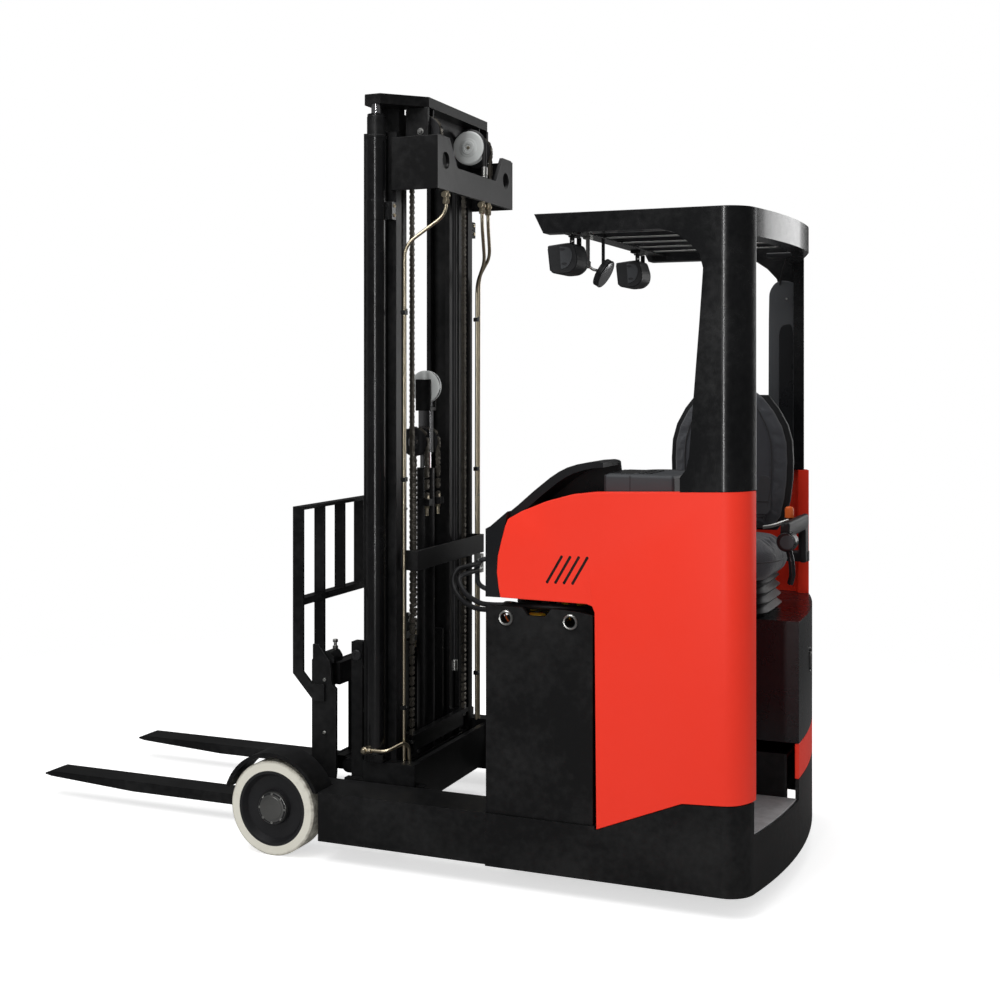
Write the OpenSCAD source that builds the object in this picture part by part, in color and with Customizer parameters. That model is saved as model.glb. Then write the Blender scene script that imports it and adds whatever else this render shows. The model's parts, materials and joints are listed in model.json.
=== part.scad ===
/* [Truck] */
// Overall width over the support legs
truck_w = 1270; // [1220:10:1330]
// Load wheel axle to drive wheel axle
wheelbase = 1440; // [1410:10:1460]
// Drive wheel axle to the rearmost point of the body
rear_over = 305; // [290:5:340]
// Height of the body's lower edge over the floor
clear_h = 70; // [60:5:90]
// Radius of the bowed rear end
bow_r = 2200; // [1900:50:3000]
// Radius of the body's rear corners
corner_r = 90; // [70:5:110]

/* [Support legs] */
// Width of one support leg
leg_w = 180; // [170:5:190]
// Height of a leg's upper face
leg_top = 243; // [238:1:250]
// Depth of the roller channel in a leg's inner face
channel_d = 50; // [45:1:56]
// Height of the roller channel
channel_h = 92; // [90:1:100]
// Thickness of the arch over a load wheel
arch_t = 14; // [10:1:18]

/* [Wheels] */
// Diameter of a load wheel
load_d = 330; // [310:2:340]
// Width of a load wheel
load_w = 100; // [90:2:106]
// Thickness of a load wheel's tread
load_tread = 34; // [28:1:40]
// Diameter of a load wheel's axle
load_axle_d = 60; // [50:1:70]
// Diameter of the drive wheel
drive_d = 330; // [310:2:340]
// Width of the drive wheel
drive_w = 130; // [110:2:140]
// Thickness of the drive wheel's tread
drive_tread = 32; // [26:1:40]
// Distance of the drive wheel's swivel to the right of the centre line
drive_off = 160; // [140:5:180]

/* [Battery] */
// Front face of the battery, behind the load wheel axle
battery_front = 812; // [805:1:830]
// Length of the battery along the truck
battery_l = 370; // [350:5:372]
// Height of the battery's upper edge
battery_top = 925; // [880:5:935]
// Radius of the hole in a lifting eye
eye_r = 16.5; // [12:0.5:18]

/* [Body] */
// Thickness of a side panel
panel_t = 40; // [34:1:46]
// Height of a side panel's upper edge at the rear
panel_top = 1320; // [1280:5:1340]
// Height of the cab's floor
floor_h = 440; // [420:5:460]
// Height of the step in the floor's rear corner
step_h = 250; // [246:1:270]
// Distance of the seat box's left wall to the left of the centre line
box_side = 121; // [100:1:140]
// Height of the seat box
box_top = 850; // [820:5:870]
// Height of the band across the rear end
band_h = 110; // [90:5:120]
// Wall of the sheet covers
sheet_t = 8; // [6:1:10]

/* [Overhead guard] */
// Height of the overhead guard
guard_h = 2203; // [2120:1:2260]
// Thickness of a guard pillar across the truck
pillar_t = 62; // [54:1:70]
// Height of the guard's side rails
rail_h = 64; // [56:1:72]
// Distance of the guard's front edge behind the load wheel axle
guard_front = 984; // [950:1:1020]
// Number of bars across the roof
roof_bars = 5; // [3:1:7]

/* [Mast] */
// Distance of the mast's front face behind the load wheel axle
mast_front = 213; // [208:1:225]
// Depth of the mast's channels along the truck
mast_d = 132; // [126:1:136]
// Width over the outer channels
mast_w = 690; // [680:2:700]
// Height of the mast's highest point
mast_top = 2689; // [2560:1:2760]
// Height of the outer channels' foot
mast_foot = 190; // [180:1:200]
// Gap between the nested channels' sides
nest_gap = 7; // [6:1:9]
// Thickness of a channel's web
web_t = 12; // [10:1:14]
// Thickness of a channel's flanges
flange_t = 17; // [14:1:19]
// Depth of a channel's flanges across the truck
flange_w = 54; // [50:1:56]
// Diameter of a lift cylinder's tube
lift_d = 70; // [62:1:76]
// Diameter of a lift cylinder's rod
lift_rod_d = 36; // [32:1:42]
// Radius of the lifting holes in the outer mast's head plate
hang_r = 30; // [24:1:34]
// Diameter of the head's hose pulley
pulley_d = 128; // [100:2:130]

/* [Fork carriage] */
// Length of a fork's blade
fork_l = 1070; // [900:10:1150]
// Width of a fork
fork_w = 110; // [90:2:120]
// Thickness of a fork
fork_t = 40; // [34:1:45]
// Distance between the forks' middles
fork_gap = 610; // [500:10:660]
// Width of the fork carriage
carriage_w = 800; // [780:5:820]
// Height of the load backrest's upper edge
guard_rest_top = 1202; // [1100:1:1300]
// Number of bars in the load backrest
rest_bars = 6; // [4:1:7]

/* [Hidden] */
$fn = 64;
fit = 0.05;
seat = 0.3;
half_w = truck_w / 2;
leg_in = half_w - leg_w;
rear_x = -wheelbase - rear_over;
bay_rear = -battery_front - 378;
wheel_z = load_d / 2;
drive_z = drive_d / 2;

// The fork's heel and tip along the truck, and the middle of the whole length
heel_x = 70;
fork_top = 106;
tip_x = heel_x + fork_l + fork_t + 30;
mid_x = (tip_x + rear_x) / 2;

// Centre of the rear bow, set a little to the left
bow_y = 60;
bow_x = rear_x + bow_r;

// Mast stages: outer, middle and inner, each as half width over its channels
outer_y = mast_w / 2;
middle_y = outer_y - web_t - nest_gap - 34;
inner_y = middle_y - web_t - nest_gap - 34;
mast_rear = -mast_front - mast_d;
middle_rear = mast_rear + 15;
inner_rear = mast_rear + 33;
outer_top = mast_top - 130;
lift_y = outer_y + 5 + lift_d / 2;
lift_x = -mast_front - 72;

// Plan of the body with its bowed rear end, drawn in by a given wall
module plan(front, wall = 0) {
    r = bow_r - wall;
    c = corner_r - wall;
    y = half_w - corner_r;
    function reach(s) = -sqrt(pow(bow_r - corner_r, 2) - pow(s * y - bow_y, 2)) + bow_x;
    function tangent(s) = bow_y + (s * y - bow_y) * r / (r - c);
    intersection() {
        translate([bow_x, bow_y]) circle(r, $fn = 360);
        translate([bow_x - bow_r, tangent(-1)]) square([front - bow_x + bow_r, tangent(1) - tangent(-1)]);
    }
    for (s = [-1, 1]) {
        translate([reach(s), s * y]) circle(c);
        translate([reach(s), s > 0 ? 0 : wall - half_w]) square([front - reach(s), half_w - wall]);
    }
}

// A wall that follows the body's plan between two heights
module skin(front, z0, z1, wall) {
    translate([0, 0, z0]) linear_extrude(z1 - z0) difference() {
        plan(front);
        plan(front + 1, wall);
    }
}

module slab(x0, x1, y0, y1, z0, z1) {
    translate([x0, y0, z0]) cube([x1 - x0, y1 - y0, z1 - z0]);
}

// Side profile, drawn in X and Z, made as thick as the span in Y
module across(y0, y1) {
    translate([0, y1, 0]) rotate([90, 0, 0]) linear_extrude(y1 - y0) children();
}

module rod_y(x, z, r, y0, y1) {
    translate([x, y0, z]) rotate([-90, 0, 0]) cylinder(h = y1 - y0, r = r);
}

module rod_z(x, y, r, z0, z1) {
    translate([x, y, z0]) cylinder(h = z1 - z0, r = r);
}

module rod_x(y, z, r, x0, x1) {
    translate([x0, y, z]) rotate([0, 90, 0]) cylinder(h = x1 - x0, r = r);
}

module both() {
    children();
    mirror([0, 1, 0]) children();
}

// Support legs

wheel_out = half_w - 5;
wheel_in = wheel_out - load_w;
channel_z = wheel_z;
cheek_out = wheel_in - 8;
arch_r = load_d / 2 + 16;

module leg_arch() {
    intersection() {
        difference() {
            rod_y(0, wheel_z, arch_r + arch_t, cheek_out, half_w);
            rod_y(0, wheel_z, arch_r, cheek_out - 1, half_w + 1);
        }
        across(cheek_out, half_w)
            polygon([[205, wheel_z + 70], [205, 420], [-330, 420], [-330, leg_top - 6], [-120, leg_top - 6],
                [-80, wheel_z], [0, wheel_z]]);
    }
}

module leg() {
    difference() {
        union() {
            slab(-battery_front, 60, leg_in, cheek_out, clear_h + 5, leg_top);
            slab(-battery_front, -arch_r - 6, leg_in, half_w, clear_h + 5, leg_top);
            rod_y(60, channel_z - 6, leg_top - channel_z + 6, leg_in, cheek_out);
            leg_arch();
            rod_y(0, wheel_z, load_axle_d / 2, cheek_out - 2, wheel_out - 32);
        }
        slab(-battery_front - 1, 200, leg_in - 1, leg_in + channel_d, channel_z - channel_h / 2,
            channel_z + channel_h / 2);
        slab(60, 200, leg_in - 1, cheek_out + 1, 0, clear_h + 5);
    }
}

module legs() {
    color("#1b1c1e") both() leg();
}

// Rear frame: skirt, battery floor and the plate that carries the drive head

skirt_side = [[-battery_front, clear_h], [-battery_front, leg_top], [bay_rear + seat, leg_top],
    [bay_rear + seat, 233], [bay_rear - 6, 233], [-wheelbase - 36, 345], [-wheelbase - 205, 353],
    [-wheelbase - 460, 376], [-wheelbase - 460, clear_h]];
drive_deck = 400;

module base_frame() {
    color("#1b1c1e") {
        difference() {
            intersection() {
                skin(-battery_front, clear_h, drive_deck, 12);
                across(-half_w, half_w) polygon(skirt_side);
            }
            slab(rear_x - 1, -1600, box_side, half_w - corner_r + 16, step_h, 500);
            slab(rear_x - 1, -1500, -half_w + corner_r, box_side, floor_h - band_h - 10.5, 500);
        }
        slab(bay_rear, -battery_front, -half_w + 12, half_w - 12, leg_top - 16, leg_top);
        slab(-battery_front - 12, -battery_front, -half_w + 12, half_w - 12, clear_h + 5, leg_top - 16);
        slab(bay_rear, bay_rear + 12, -half_w + 12, half_w - 12, clear_h, leg_top - 16);
        difference() {
            translate([0, 0, drive_deck - 16]) linear_extrude(16) intersection() {
                plan(bay_rear - 13, panel_t + 1);
                translate([-2000, -half_w]) square([2000, half_w + box_side]);
            }
            rod_z(-wheelbase, -drive_off, 118, drive_deck - 20, drive_deck + 4);
        }
        for (z = [[clear_h, 234, bay_rear + 1, 11], [233, drive_deck - 15, bay_rear - 13, panel_t + 1]]) intersection() {
            translate([0, 0, z[0]]) linear_extrude(z[1] - z[0]) plan(z[2], z[3]);
            union() {
                slab(rear_x, bay_rear, box_side - 12, box_side, step_h, drive_deck);
                slab(rear_x, bay_rear + 1, box_side - 12, half_w, step_h - 17, step_h);
                slab(bay_rear - 200, bay_rear + 1, -half_w, -half_w + 120, clear_h, drive_deck);
                slab(rear_x, bay_rear + 1, box_side - 12, half_w, clear_h, clear_h + 10);
                slab(rear_x, bay_rear + 1, box_side - 12, box_side, clear_h, step_h);
            }
        }
    }
}

module floor_sheets() {
    y1 = half_w - panel_t - seat;
    color("#4a4c4f") {
        slab(-1600, bay_rear - 14, box_side + 1, y1, floor_h - sheet_t, floor_h);
        slab(-1600, -1600 + sheet_t, box_side + 1, y1, step_h, floor_h - sheet_t);
        intersection() {
            translate([0, 0, step_h]) linear_extrude(4) plan(-1601, 8);
            slab(rear_x, -1601, box_side + 1, half_w - corner_r + 10, 0, 500);
        }
    }
}

// Battery in its steel box, with four lifting eyes

eye_x = [-884, -1107];
eye_z = battery_top - 37;
battery_side = 8;

module battery() {
    y = half_w - battery_side;
    x1 = -battery_front - battery_l;
    color("#141416") difference() {
        union() {
            slab(x1, -battery_front, -y, y, leg_top, battery_top - 60);
            both() across(y - 20, y) polygon([[x1, battery_top - 60], [x1, battery_top - 12], [eye_x[1] - 30, battery_top - 4],
                [eye_x[1] + 30, battery_top], [-1040, battery_top], [-1020, battery_top - 26],
                [-960, battery_top - 26], [-940, battery_top], [-battery_front - 6, battery_top],
                [-battery_front, battery_top - 6], [-battery_front, battery_top - 60]]);
            both() for (x = eye_x) rod_y(x, eye_z, eye_r + 8, y - 26, y + 5);
        }
        both() for (x = eye_x) rod_y(x, eye_z, eye_r, y - 30, y + 9);
    }
}

// Side panels

panel_edge = [[bay_rear - 6, 234], [-wheelbase - 36, 347], [-wheelbase - 205, 355], [-wheelbase - 460, 378],
    [-wheelbase - 460, panel_top + 4], [-wheelbase - 235, panel_top + 2], [-1190, panel_top - 12], [-1112, panel_top - 22], [-1027, panel_top - 46],
    [-941, panel_top - 81], [-893, panel_top - 108], [-883, panel_top - 132], [-868, 1133], [-857, 1089], [-854, 1035],
    [-860, 986], [-866, 954], [bay_rear + 27, 950], [bay_rear + 8, 944], [bay_rear, 925]];
vents = 4;

module side_panel() {
    difference() {
        intersection() {
            skin(0, 200, 1400, panel_t);
            across(half_w - corner_r, half_w) polygon(panel_edge);
        }
        for (i = [0:vents - 1]) translate([-29 * i, 0, 0]) {
            rod_y(-1079, 1097, 5, half_w - 60, half_w + 1);
            rod_y(-1030, 1014, 5, half_w - 60, half_w + 1);
            across(half_w - 60, half_w + 1)
                polygon([[-1083, 1095], [-1034, 1012], [-1026, 1016], [-1075, 1099]]);
        }
    }
}

module side_left() {
    color("#ff3e2d") side_panel();
}

module side_right() {
    color("#ff3e2d") intersection() {
        skin(0, 200, 1400, panel_t);
        across(-half_w, -half_w + corner_r) polygon(panel_edge);
    }
}

// Bonnet over the battery bay, a sheet that rises from the front face to the dash

hump_line = [[-813, 954], [-813, 1177], [-830, 1186], [-870, 1221], [-912, 1254], [-970, 1304], [-1027, 1349],
    [-1056, 1368], [-1084, 1382], [-1118, 1393], [-1152, 1400], [-1190, 1403], [bay_rear - 16, 1400]];
low_line = [[-813, 954], [-813, 1160], [-830, 1176], [-880, 1206], [-940, 1230], [-1010, 1250], [-1090, 1264],
    [bay_rear - 16, 1268]];
hump_y = 245;

module shell(line, y0, y1, top) {
    across(y0, y1) difference() {
        polygon(concat(line, [[bay_rear - 16, 954]]));
        translate([-22, -18]) polygon(concat(line, [[bay_rear - 100, top], [bay_rear - 100, 900]]));
        translate([-9, -40]) polygon([[-826, 950], [-826, 1180], [bay_rear - 16, 1200], [bay_rear - 16, 950]]);
    }
}

module bonnet() {
    y = half_w - panel_t - seat;
    color("#151618") {
        shell(hump_line, hump_y, y, 1400);
        shell(low_line, -y, hump_y + 1, 1268);
        across(hump_y, hump_y + 12) polygon(concat([for (p = low_line) if (p[1] > 1000) p - [22, 14]],
            [for (i = [len(hump_line) - 1:-1:1]) hump_line[i] - [4, 3]]));
        both() across(y, half_w - 3) polygon([[-813, 954], [-813, 1177], [-830, 1186], [-890, 1236],
            [-882, 1188], [-867, 1133], [-856, 1089], [-853, 1035], [-859, 986], [-865, 954]]);
    }
}

module bulkhead() {
    y = half_w - panel_t - seat;
    color("#1d1e20") {
        slab(bay_rear - 12, bay_rear - 2, -y, y, leg_top, 1245);
    }
}

// Seat box with the band below it

module box_plan(t) {
    plan(bay_rear - 13 - t, panel_t + 1 + t);
    intersection() {
        plan(bay_rear - 13 - t, t);
        translate([-2000, -half_w + corner_r + 1 + t]) square([2000, 1000]);
    }
}

module seat_box() {
    color("#17181a") difference() {
        translate([0, 0, floor_h]) linear_extrude(box_top - floor_h) intersection() {
            box_plan(0);
            translate([-2000, -1000]) square([2000, 1000 + box_side]);
        }
        translate([0, 0, floor_h - 1]) linear_extrude(box_top - floor_h - sheet_t + 1) intersection() {
            box_plan(sheet_t);
            translate([-2000, -1000]) square([2000, 1000 + box_side - sheet_t]);
        }
    }
}

module rear_band() {
    color("#f03c2c") intersection() {
        skin(0, floor_h - band_h - 10, floor_h - 2, 14);
        slab(-2000, -1500, -half_w + corner_r + 2, box_side, 200, 500);
    }
}

// Seat

seat_x = 4 - wheelbase;
seat_back = -270;

module seat_base() {
    color("#242528") {
        translate([seat_x, seat_back + 190, box_top + seat]) for (i = [0:3])
            translate([-170, -170, i * 26]) cube([340, 360, 20]);
        translate([seat_x - 150, seat_back + 40, box_top + seat]) cube([300, 320, 104]);
        translate([seat_x - 190, seat_back + 10, box_top + 104]) cube([380, 400, 31 - seat]);
    }
}

module seat_cushion() {
    color("#4b4d55") translate([seat_x - 235, seat_back - 20, box_top + 135]) cube([450, 470, 110]);
}

module backrest() {
    color("#4b4d55") hull() {
        for (p = [[185, 1125.3], [208, 1300], [205, 1420], [180, 1560], [120, 1652]]) for (m = [-1, 1])
            translate([seat_x + m * (p[0] - 28), seat_back - 92, p[1]]) rotate([-90, 0, 0])
                cylinder(h = 88, r = 30, $fn = 24);
    }
}

module armrest() {
    color("#1a1b1d") {
        slab(seat_x - 262, seat_x - 238, seat_back - 60, seat_back + 310, 1120, 1175);
        slab(seat_x - 262, seat_x - 238, seat_back - 60, seat_back, 1000, 1120);
        slab(seat_x - 250, seat_x - 180, seat_back - 60, seat_back - 20 - seat, 1000, 1040);
    }
}

dash_top = 1365;

module dash() {
    y = half_w - panel_t - seat;
    color("#2a2c2f") slab(-1440, bay_rear - 17, y - 260, y, 1180, dash_top);
}

wheel_at = [-1302, 215];
rim_z = 1345;

module steering_wheel() {
    color("#1a1b1d") {
        translate([wheel_at[0], wheel_at[1], rim_z]) rotate_extrude() translate([75, 0]) circle(10, $fn = 24);
        rod_z(wheel_at[0], wheel_at[1], 24, 1290, rim_z + 6);
        slab(wheel_at[0] - 18, wheel_at[0] + 18, wheel_at[1], half_w - panel_t - 260 - 2 * seat, 1290, 1318);
        for (a = [30:120:270]) translate([wheel_at[0], wheel_at[1], rim_z - 4]) rotate([0, 0, a])
            translate([18, -9, 0]) cube([52, 18, 8]);
    }
}

// Overhead guard

function back(points) = [for (p = points) [p[0] - wheelbase, p[1]]];

guard_edge = concat([[-guard_front, guard_h], [-guard_front - 32, guard_h - rail_h]], back([[36, guard_h - rail_h],
    [-10, guard_h - rail_h - 12], [-55, guard_h - rail_h - 43], [-91, guard_h - rail_h - 82],
    [-103, guard_h - rail_h - 127], [-100, 1968], [-91, 1842], [-81, 1716], [-72, 1602], [-59, 1431],
    [-49, 1387], [-29, 1361], [-29, panel_top - 3.6], [-235, panel_top + 2.4], [-460, panel_top + 4.4],
    [-460, guard_h]]));

module guard_sides() {
    color("#101113") both() intersection() {
        skin(-900, 1200, 2300, pillar_t);
        across(half_w - corner_r, half_w) polygon(guard_edge);
    }
}

module guard_roof() {
    y = half_w - pillar_t;
    color("#131416") {
        intersection() {
            skin(-900, guard_h - 90, guard_h, pillar_t);
            slab(-2000, -1500, -half_w + corner_r, half_w - corner_r, 0, 3000);
        }
        slab(lamp_x - 50, lamp_x + 10, -y, y, guard_h - 46, guard_h);
        for (i = [0:roof_bars - 1]) {
            t = -y + 2 * y * (i + 1) / (roof_bars + 1);
            slab(-1690, lamp_x - 50, t - 20, t + 20, guard_h - 40, guard_h - 8);
        }
    }
}

lamp_x = -1040;
lamp_y = [450, -300];
lamp_w = 120;

module lamps() {
    color("#26272a") for (y = lamp_y) {
        z = guard_h - 93;
        across(y - lamp_w / 2, y + lamp_w / 2) polygon([[lamp_x - 50, z - 75], [lamp_x + 46, z - 90],
            [lamp_x + 58, z], [lamp_x - 30, z + 10]]);
        slab(lamp_x - 25, lamp_x + 15, y - 30, y + 30, z + 2, guard_h - 46 - seat);
    }
}

module rear_mirror() {
    color("#2b2c2e") {
        translate([-1062, 120, guard_h - 163]) rotate([0, 60, 0]) cylinder(h = 20, r = 52);
        rod_z(-1052, 120, 6, guard_h - 153, guard_h - 46 - seat);
        rod_z(-1052, 290, 5, guard_h - 153, guard_h - 46 - seat);
    }
}

module drive_motor() {
    color("#3a3c3f") {
        rod_z(-wheelbase, -drive_off, 105, drive_deck + 6, drive_deck + 330);
        difference() {
            rod_z(-wheelbase, -drive_off, 135, drive_deck + seat, drive_deck + 14);
            rod_z(-wheelbase, -drive_off, 120, drive_deck, drive_deck + 6);
        }
    }
}

// Wheels

module tyre(d, w, t) {
    rotate([-90, 0, 0]) rotate_extrude($fn = 96) polygon([[d / 2 - t, -w / 2], [d / 2 - 6, -w / 2],
        [d / 2, -w / 2 + 6], [d / 2, w / 2 - 6], [d / 2 - 6, w / 2], [d / 2 - t, w / 2]]);
}

module hub(d, w, t, bore) {
    r = d / 2 - t;
    rotate([-90, 0, 0]) rotate_extrude($fn = 96) polygon([[bore, -w / 2], [r, -w / 2], [r, w / 2], [r - 10, w / 2],
        [r - 22, w / 2 - 22], [62, w / 2 - 26], [57, w / 2 - 8], [52, w / 2], [30, w / 2], [26, w / 2 - 6],
        [0, w / 2 - 6], [0, w / 2 - 24], [bore, w / 2 - 24]]);
}

wheel_mid = (wheel_out + wheel_in) / 2;

module tyre_left() {
    color("#e9e7dc") translate([0, wheel_mid, wheel_z]) tyre(load_d, load_w, load_tread);
}

module hub_left() {
    color("#26272a") translate([0, wheel_mid, wheel_z]) hub(load_d, load_w, load_tread, load_axle_d / 2 + fit);
}

module tyre_right() {
    color("#e9e7dc") mirror([0, 1, 0]) translate([0, wheel_mid, wheel_z]) tyre(load_d, load_w, load_tread);
}

module hub_right() {
    color("#26272a") mirror([0, 1, 0]) translate([0, wheel_mid, wheel_z])
        hub(load_d, load_w, load_tread, load_axle_d / 2 + fit);
}

// Drive head, which swivels, and the driven wheel beside it

module drive_head() {
    y = -drive_off;
    color("#2f3134") {
        rod_z(-wheelbase, y, 112, drive_deck - 16, drive_deck + 6 - seat);
        rod_z(-wheelbase, y, 100, drive_z + drive_d / 2 + 10, drive_deck - 16);
        slab(-wheelbase - 70, -wheelbase + 70, y + drive_w / 2 + 8, y + drive_w / 2 + 48, drive_z - 40,
            drive_z + drive_d / 2 + 12);
        rod_y(-wheelbase, drive_z, 70, y + drive_w / 2 + 8, y + drive_w / 2 + 48);
        rod_y(-wheelbase, drive_z, 30, y - drive_w / 2 + 40, y + drive_w / 2 + 10);
    }
}

module drive_tyre() {
    color("#2b2b2b") translate([-wheelbase, -drive_off, drive_z]) tyre(drive_d, drive_w, drive_tread);
}

module drive_hub() {
    color("#3a3c3f") translate([-wheelbase, -drive_off, drive_z]) mirror([0, 1, 0])
        hub(drive_d, drive_w, drive_tread, 30 + fit);
}

// Reach frame: runs on rollers in the legs and carries the mast

roller_x = [-166, -424];
roller_r = channel_h / 2 - seat;
foot_front = -115;
foot_rear = -412;
foot_h = 287;
foot_out = outer_y + 31;

module reach_frame() {
    color("#1b1c1e") {
        both() {
            slab(-470, -150, outer_y, foot_out, 100, 225);
            slab(-150, foot_front, outer_y, foot_out, 100, 195);
            slab(-440, -234, outer_y, foot_out + 18, 224, 300);
            for (x = roller_x) {
                rod_y(x, channel_z, roller_r, leg_in + 4, leg_in + channel_d - 4);
                rod_y(x, channel_z, 24, foot_out, leg_in + 4);
            }
            slab(mast_rear - 12, foot_front - 30, outer_y - 70, outer_y, 120, mast_foot);
        }
        slab(foot_rear, foot_rear + 20, -outer_y, outer_y, 130, foot_h);
        slab(foot_rear + 20, mast_rear - 10, -outer_y, outer_y, 130, 154);
        slab(foot_front - 30, foot_front - 6, -outer_y, outer_y, 100, 180);
    }
}

// A nested channel: web outside, two flanges towards the middle of the truck
module channel(y, z0, z1, flange, rear) {
    deep = -mast_front - rear;
    both() translate([0, 0, z0]) linear_extrude(z1 - z0) difference() {
        translate([rear, y - flange]) square([deep, flange]);
        translate([rear + flange_t, y - flange - 1]) square([deep - 2 * flange_t, flange - web_t + 1]);
    }
}

// Guide rollers of one stage, which run between the flanges of the next one out
module guides(y, z, outer, rear) {
    mid = (rear - mast_front) / 2;
    r = -mast_front - mid - flange_t - seat;
    both() {
        rod_y(mid, z, r, y + 4, outer - web_t - 3);
        rod_y(mid, z, 20, y - 1, y + 4);
    }
}

head_x = -515;
head_z = 2346;
head_top = 2540;
head_bar = 2440;
hang_z = 2454;
hang_y = outer_y - 58;
tie_z = 978;
tie_top = 1050;
tie_x = -412;

module outer_mast() {
    y = outer_y;
    color("#131416") {
        channel(outer_y, mast_foot, outer_top, 42, mast_rear);
        difference() {
            translate([head_x + 14, 0, 0]) rotate([0, -90, 0]) linear_extrude(14) polygon([[head_z, -y], [head_top, -y],
                [head_top, 92 - y], [head_bar, 162 - y], [head_bar, y - 162], [head_top, y - 92], [head_top, y],
                [head_z, y]]);
            for (s = [-1, 1]) rod_x(s * hang_y, hang_z, hang_r, head_x - 5, head_x + 20);
        }
        both() {
            slab(head_x, -mast_front - mast_d + 14, y, y + 14, head_z, head_top - 4);
            slab(tie_x, mast_rear + 5, y - 47, y - 37, tie_z, tie_top);
        }
        slab(tie_x, tie_x + 12, 37 - y, y - 37, tie_z, tie_top);
    }
}

tube_z = 330;
tube_top = 2617;
collar_z = 2541;

module lift_tubes() {
    color("#18191b") both() {
        difference() {
            union() {
                rod_z(lift_x, lift_y, lift_d / 2, tube_z, collar_z);
                rod_z(lift_x, lift_y, lift_d / 2 - 3, collar_z, tube_top);
            }
            rod_z(lift_x, lift_y, lift_rod_d / 2 + fit, tube_z + 20, tube_top + 1);
        }
        slab(lift_x - 38, lift_x + 34, outer_y + seat, foot_out + 34, 300, tube_z);
    }
}

pipe_r = 7;

pipe_x = mast_rear - 24;
pipe_y = outer_y - 14;

// A straight bar between two points, with round ends
module bar(p, q, r) {
    d = q - p;
    translate(p) {
        rotate([0, acos(d[2] / norm(d)), atan2(d[1], d[0])]) cylinder(h = norm(d), r = r);
        sphere(r + 1);
    }
}

module mast_pipes() {
    color("#b08d4a") {
        for (p = [[pipe_y, 272, 2205, 2090, foot_h + 4], [-pipe_y, -61, 2195, 2050, 420]]) {
            rod_z(pipe_x, p[0], pipe_r, p[4], p[3]);
            bar([pipe_x, p[0], p[3]], [head_x + 7, p[1], p[2]], pipe_r);
            bar([head_x + 7, p[1], p[2]], [head_x + 7, p[1], head_z - seat], pipe_r);
        }
        both() for (z = [480, 1300, 1900])
            slab(pipe_x - 6, mast_rear - seat, outer_y - 24, outer_y - 4, z, z + 16);
    }
}

middle_top = mast_top - 36;
chain_x = mast_rear - 10;
chain_y = 236;
sheave_x = chain_x - 57;
sheave_z = 2565;
pulley_x = -440;
pulley_y = -97;
pulley_z = 2559;

// Outline of the plate that the lift rods push up, open at the front for the stage inside
crown_edge = [[-195, 250], [-195, 385], [-248, 402], [-310, 404], [-441, 273], [-441, -273], [-310, -404], [-248, -402],
    [-195, -385], [-195, -250], [-362, -250], [-362, 250]];

module middle_mast() {
    color("#131416") {
        channel(middle_y, mast_foot + 10, middle_top, 34 + web_t, middle_rear);
        guides(middle_y, mast_foot + 90, outer_y, mast_rear);
        guides(middle_y, mast_foot + 900, outer_y, mast_rear);
        translate([0, 0, middle_top]) linear_extrude(mast_top - middle_top) polygon(crown_edge);
        difference() {
            slab(-382, -370, -236, 236, 2430, middle_top);
            slab(-383, -369, pulley_y - 20, pulley_y + 20, 2520, 2600);
        }
        slab(middle_rear - 22, middle_rear - 12, 12 - middle_y, middle_y - 12, mast_foot + 16, mast_foot + 80);
        both() slab(middle_rear - 22, middle_rear + 5, middle_y - 40, middle_y - 12, mast_foot + 16, mast_foot + 80);
        slab(pulley_x - 26, -370, pulley_y - 50, pulley_y - 38, 2535, 2600);
        both() {
            slab(sheave_x - 20, -370, 209, 219, sheave_z - 26, middle_top);
            rod_y(sheave_x, sheave_z, 14, 219, 252);
            rod_y(sheave_x, sheave_z, 50, 225, 247);
        }
    }
}

module lift_rods() {
    color("#c9ccd0") both() rod_z(lift_x, lift_y, lift_rod_d / 2, tube_z + 30, middle_top - seat);
}

module head_pulley() {
    color("#e4e6e6") {
        rod_y(pulley_x, pulley_z, pulley_d / 2, pulley_y - 14, pulley_y + 14);
        rod_y(pulley_x, pulley_z, 12, pulley_y - 38 + seat, pulley_y + 22);
    }
}

module inner_mast() {
    color("#131416") {
        channel(inner_y, mast_foot + 20, middle_top - 13, 34 + web_t, inner_rear);
        guides(inner_y, mast_foot + 100, middle_y, middle_rear);
        guides(inner_y, mast_foot + 880, middle_y, middle_rear);
        slab(inner_rear - 10, inner_rear, -inner_y + 10, inner_y - 10, 2540, middle_top - 13);
        slab(inner_rear - 10, inner_rear, 10 - inner_y, inner_y - 10, mast_foot + 20, mast_foot + 45);
        slab(inner_rear - 5, -250, -60, 60, mast_foot + 20, mast_foot + 45);
        both() slab(chain_x - 1, inner_rear + 5, inner_y - 40, inner_y - 10, 300, 366);
        slab(chain_x - 1, chain_x + 12, 10 - inner_y, inner_y - 10, 300, 366);
        slab(chain_x - 13, chain_x + 10, -252, 252, 350, 366);
    }
}

free_x = -300;
free_top = 1330;
crown_z = 1430;
crown_r = 45;
crown_x = free_x + 22;
crown_y = 50;

module free_tube() {
    color("#18191b") {
        difference() {
            rod_z(free_x, 0, 34, mast_foot + 45, free_top);
            rod_z(free_x, 0, 22 + fit, mast_foot + 65, free_top + 1);
        }
        both() slab(free_x - 45, free_x + 5, 33.5, 66, 1190, 1215);
    }
}

module free_rod() {
    color("#c9ccd0") {
        rod_z(free_x, 0, 22, mast_foot + 75, 1390);
        slab(free_x - 24, free_x + 24, -16, 16, 1390, 1590);
        rod_y(crown_x, crown_z, 14, -66, 66);
        both() rod_y(crown_x, crown_z, crown_r, crown_y - 10, crown_y + 10);
        rod_y(free_x, 1640, pulley_d / 2 - 4, -11, 11);
    }
}

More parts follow.
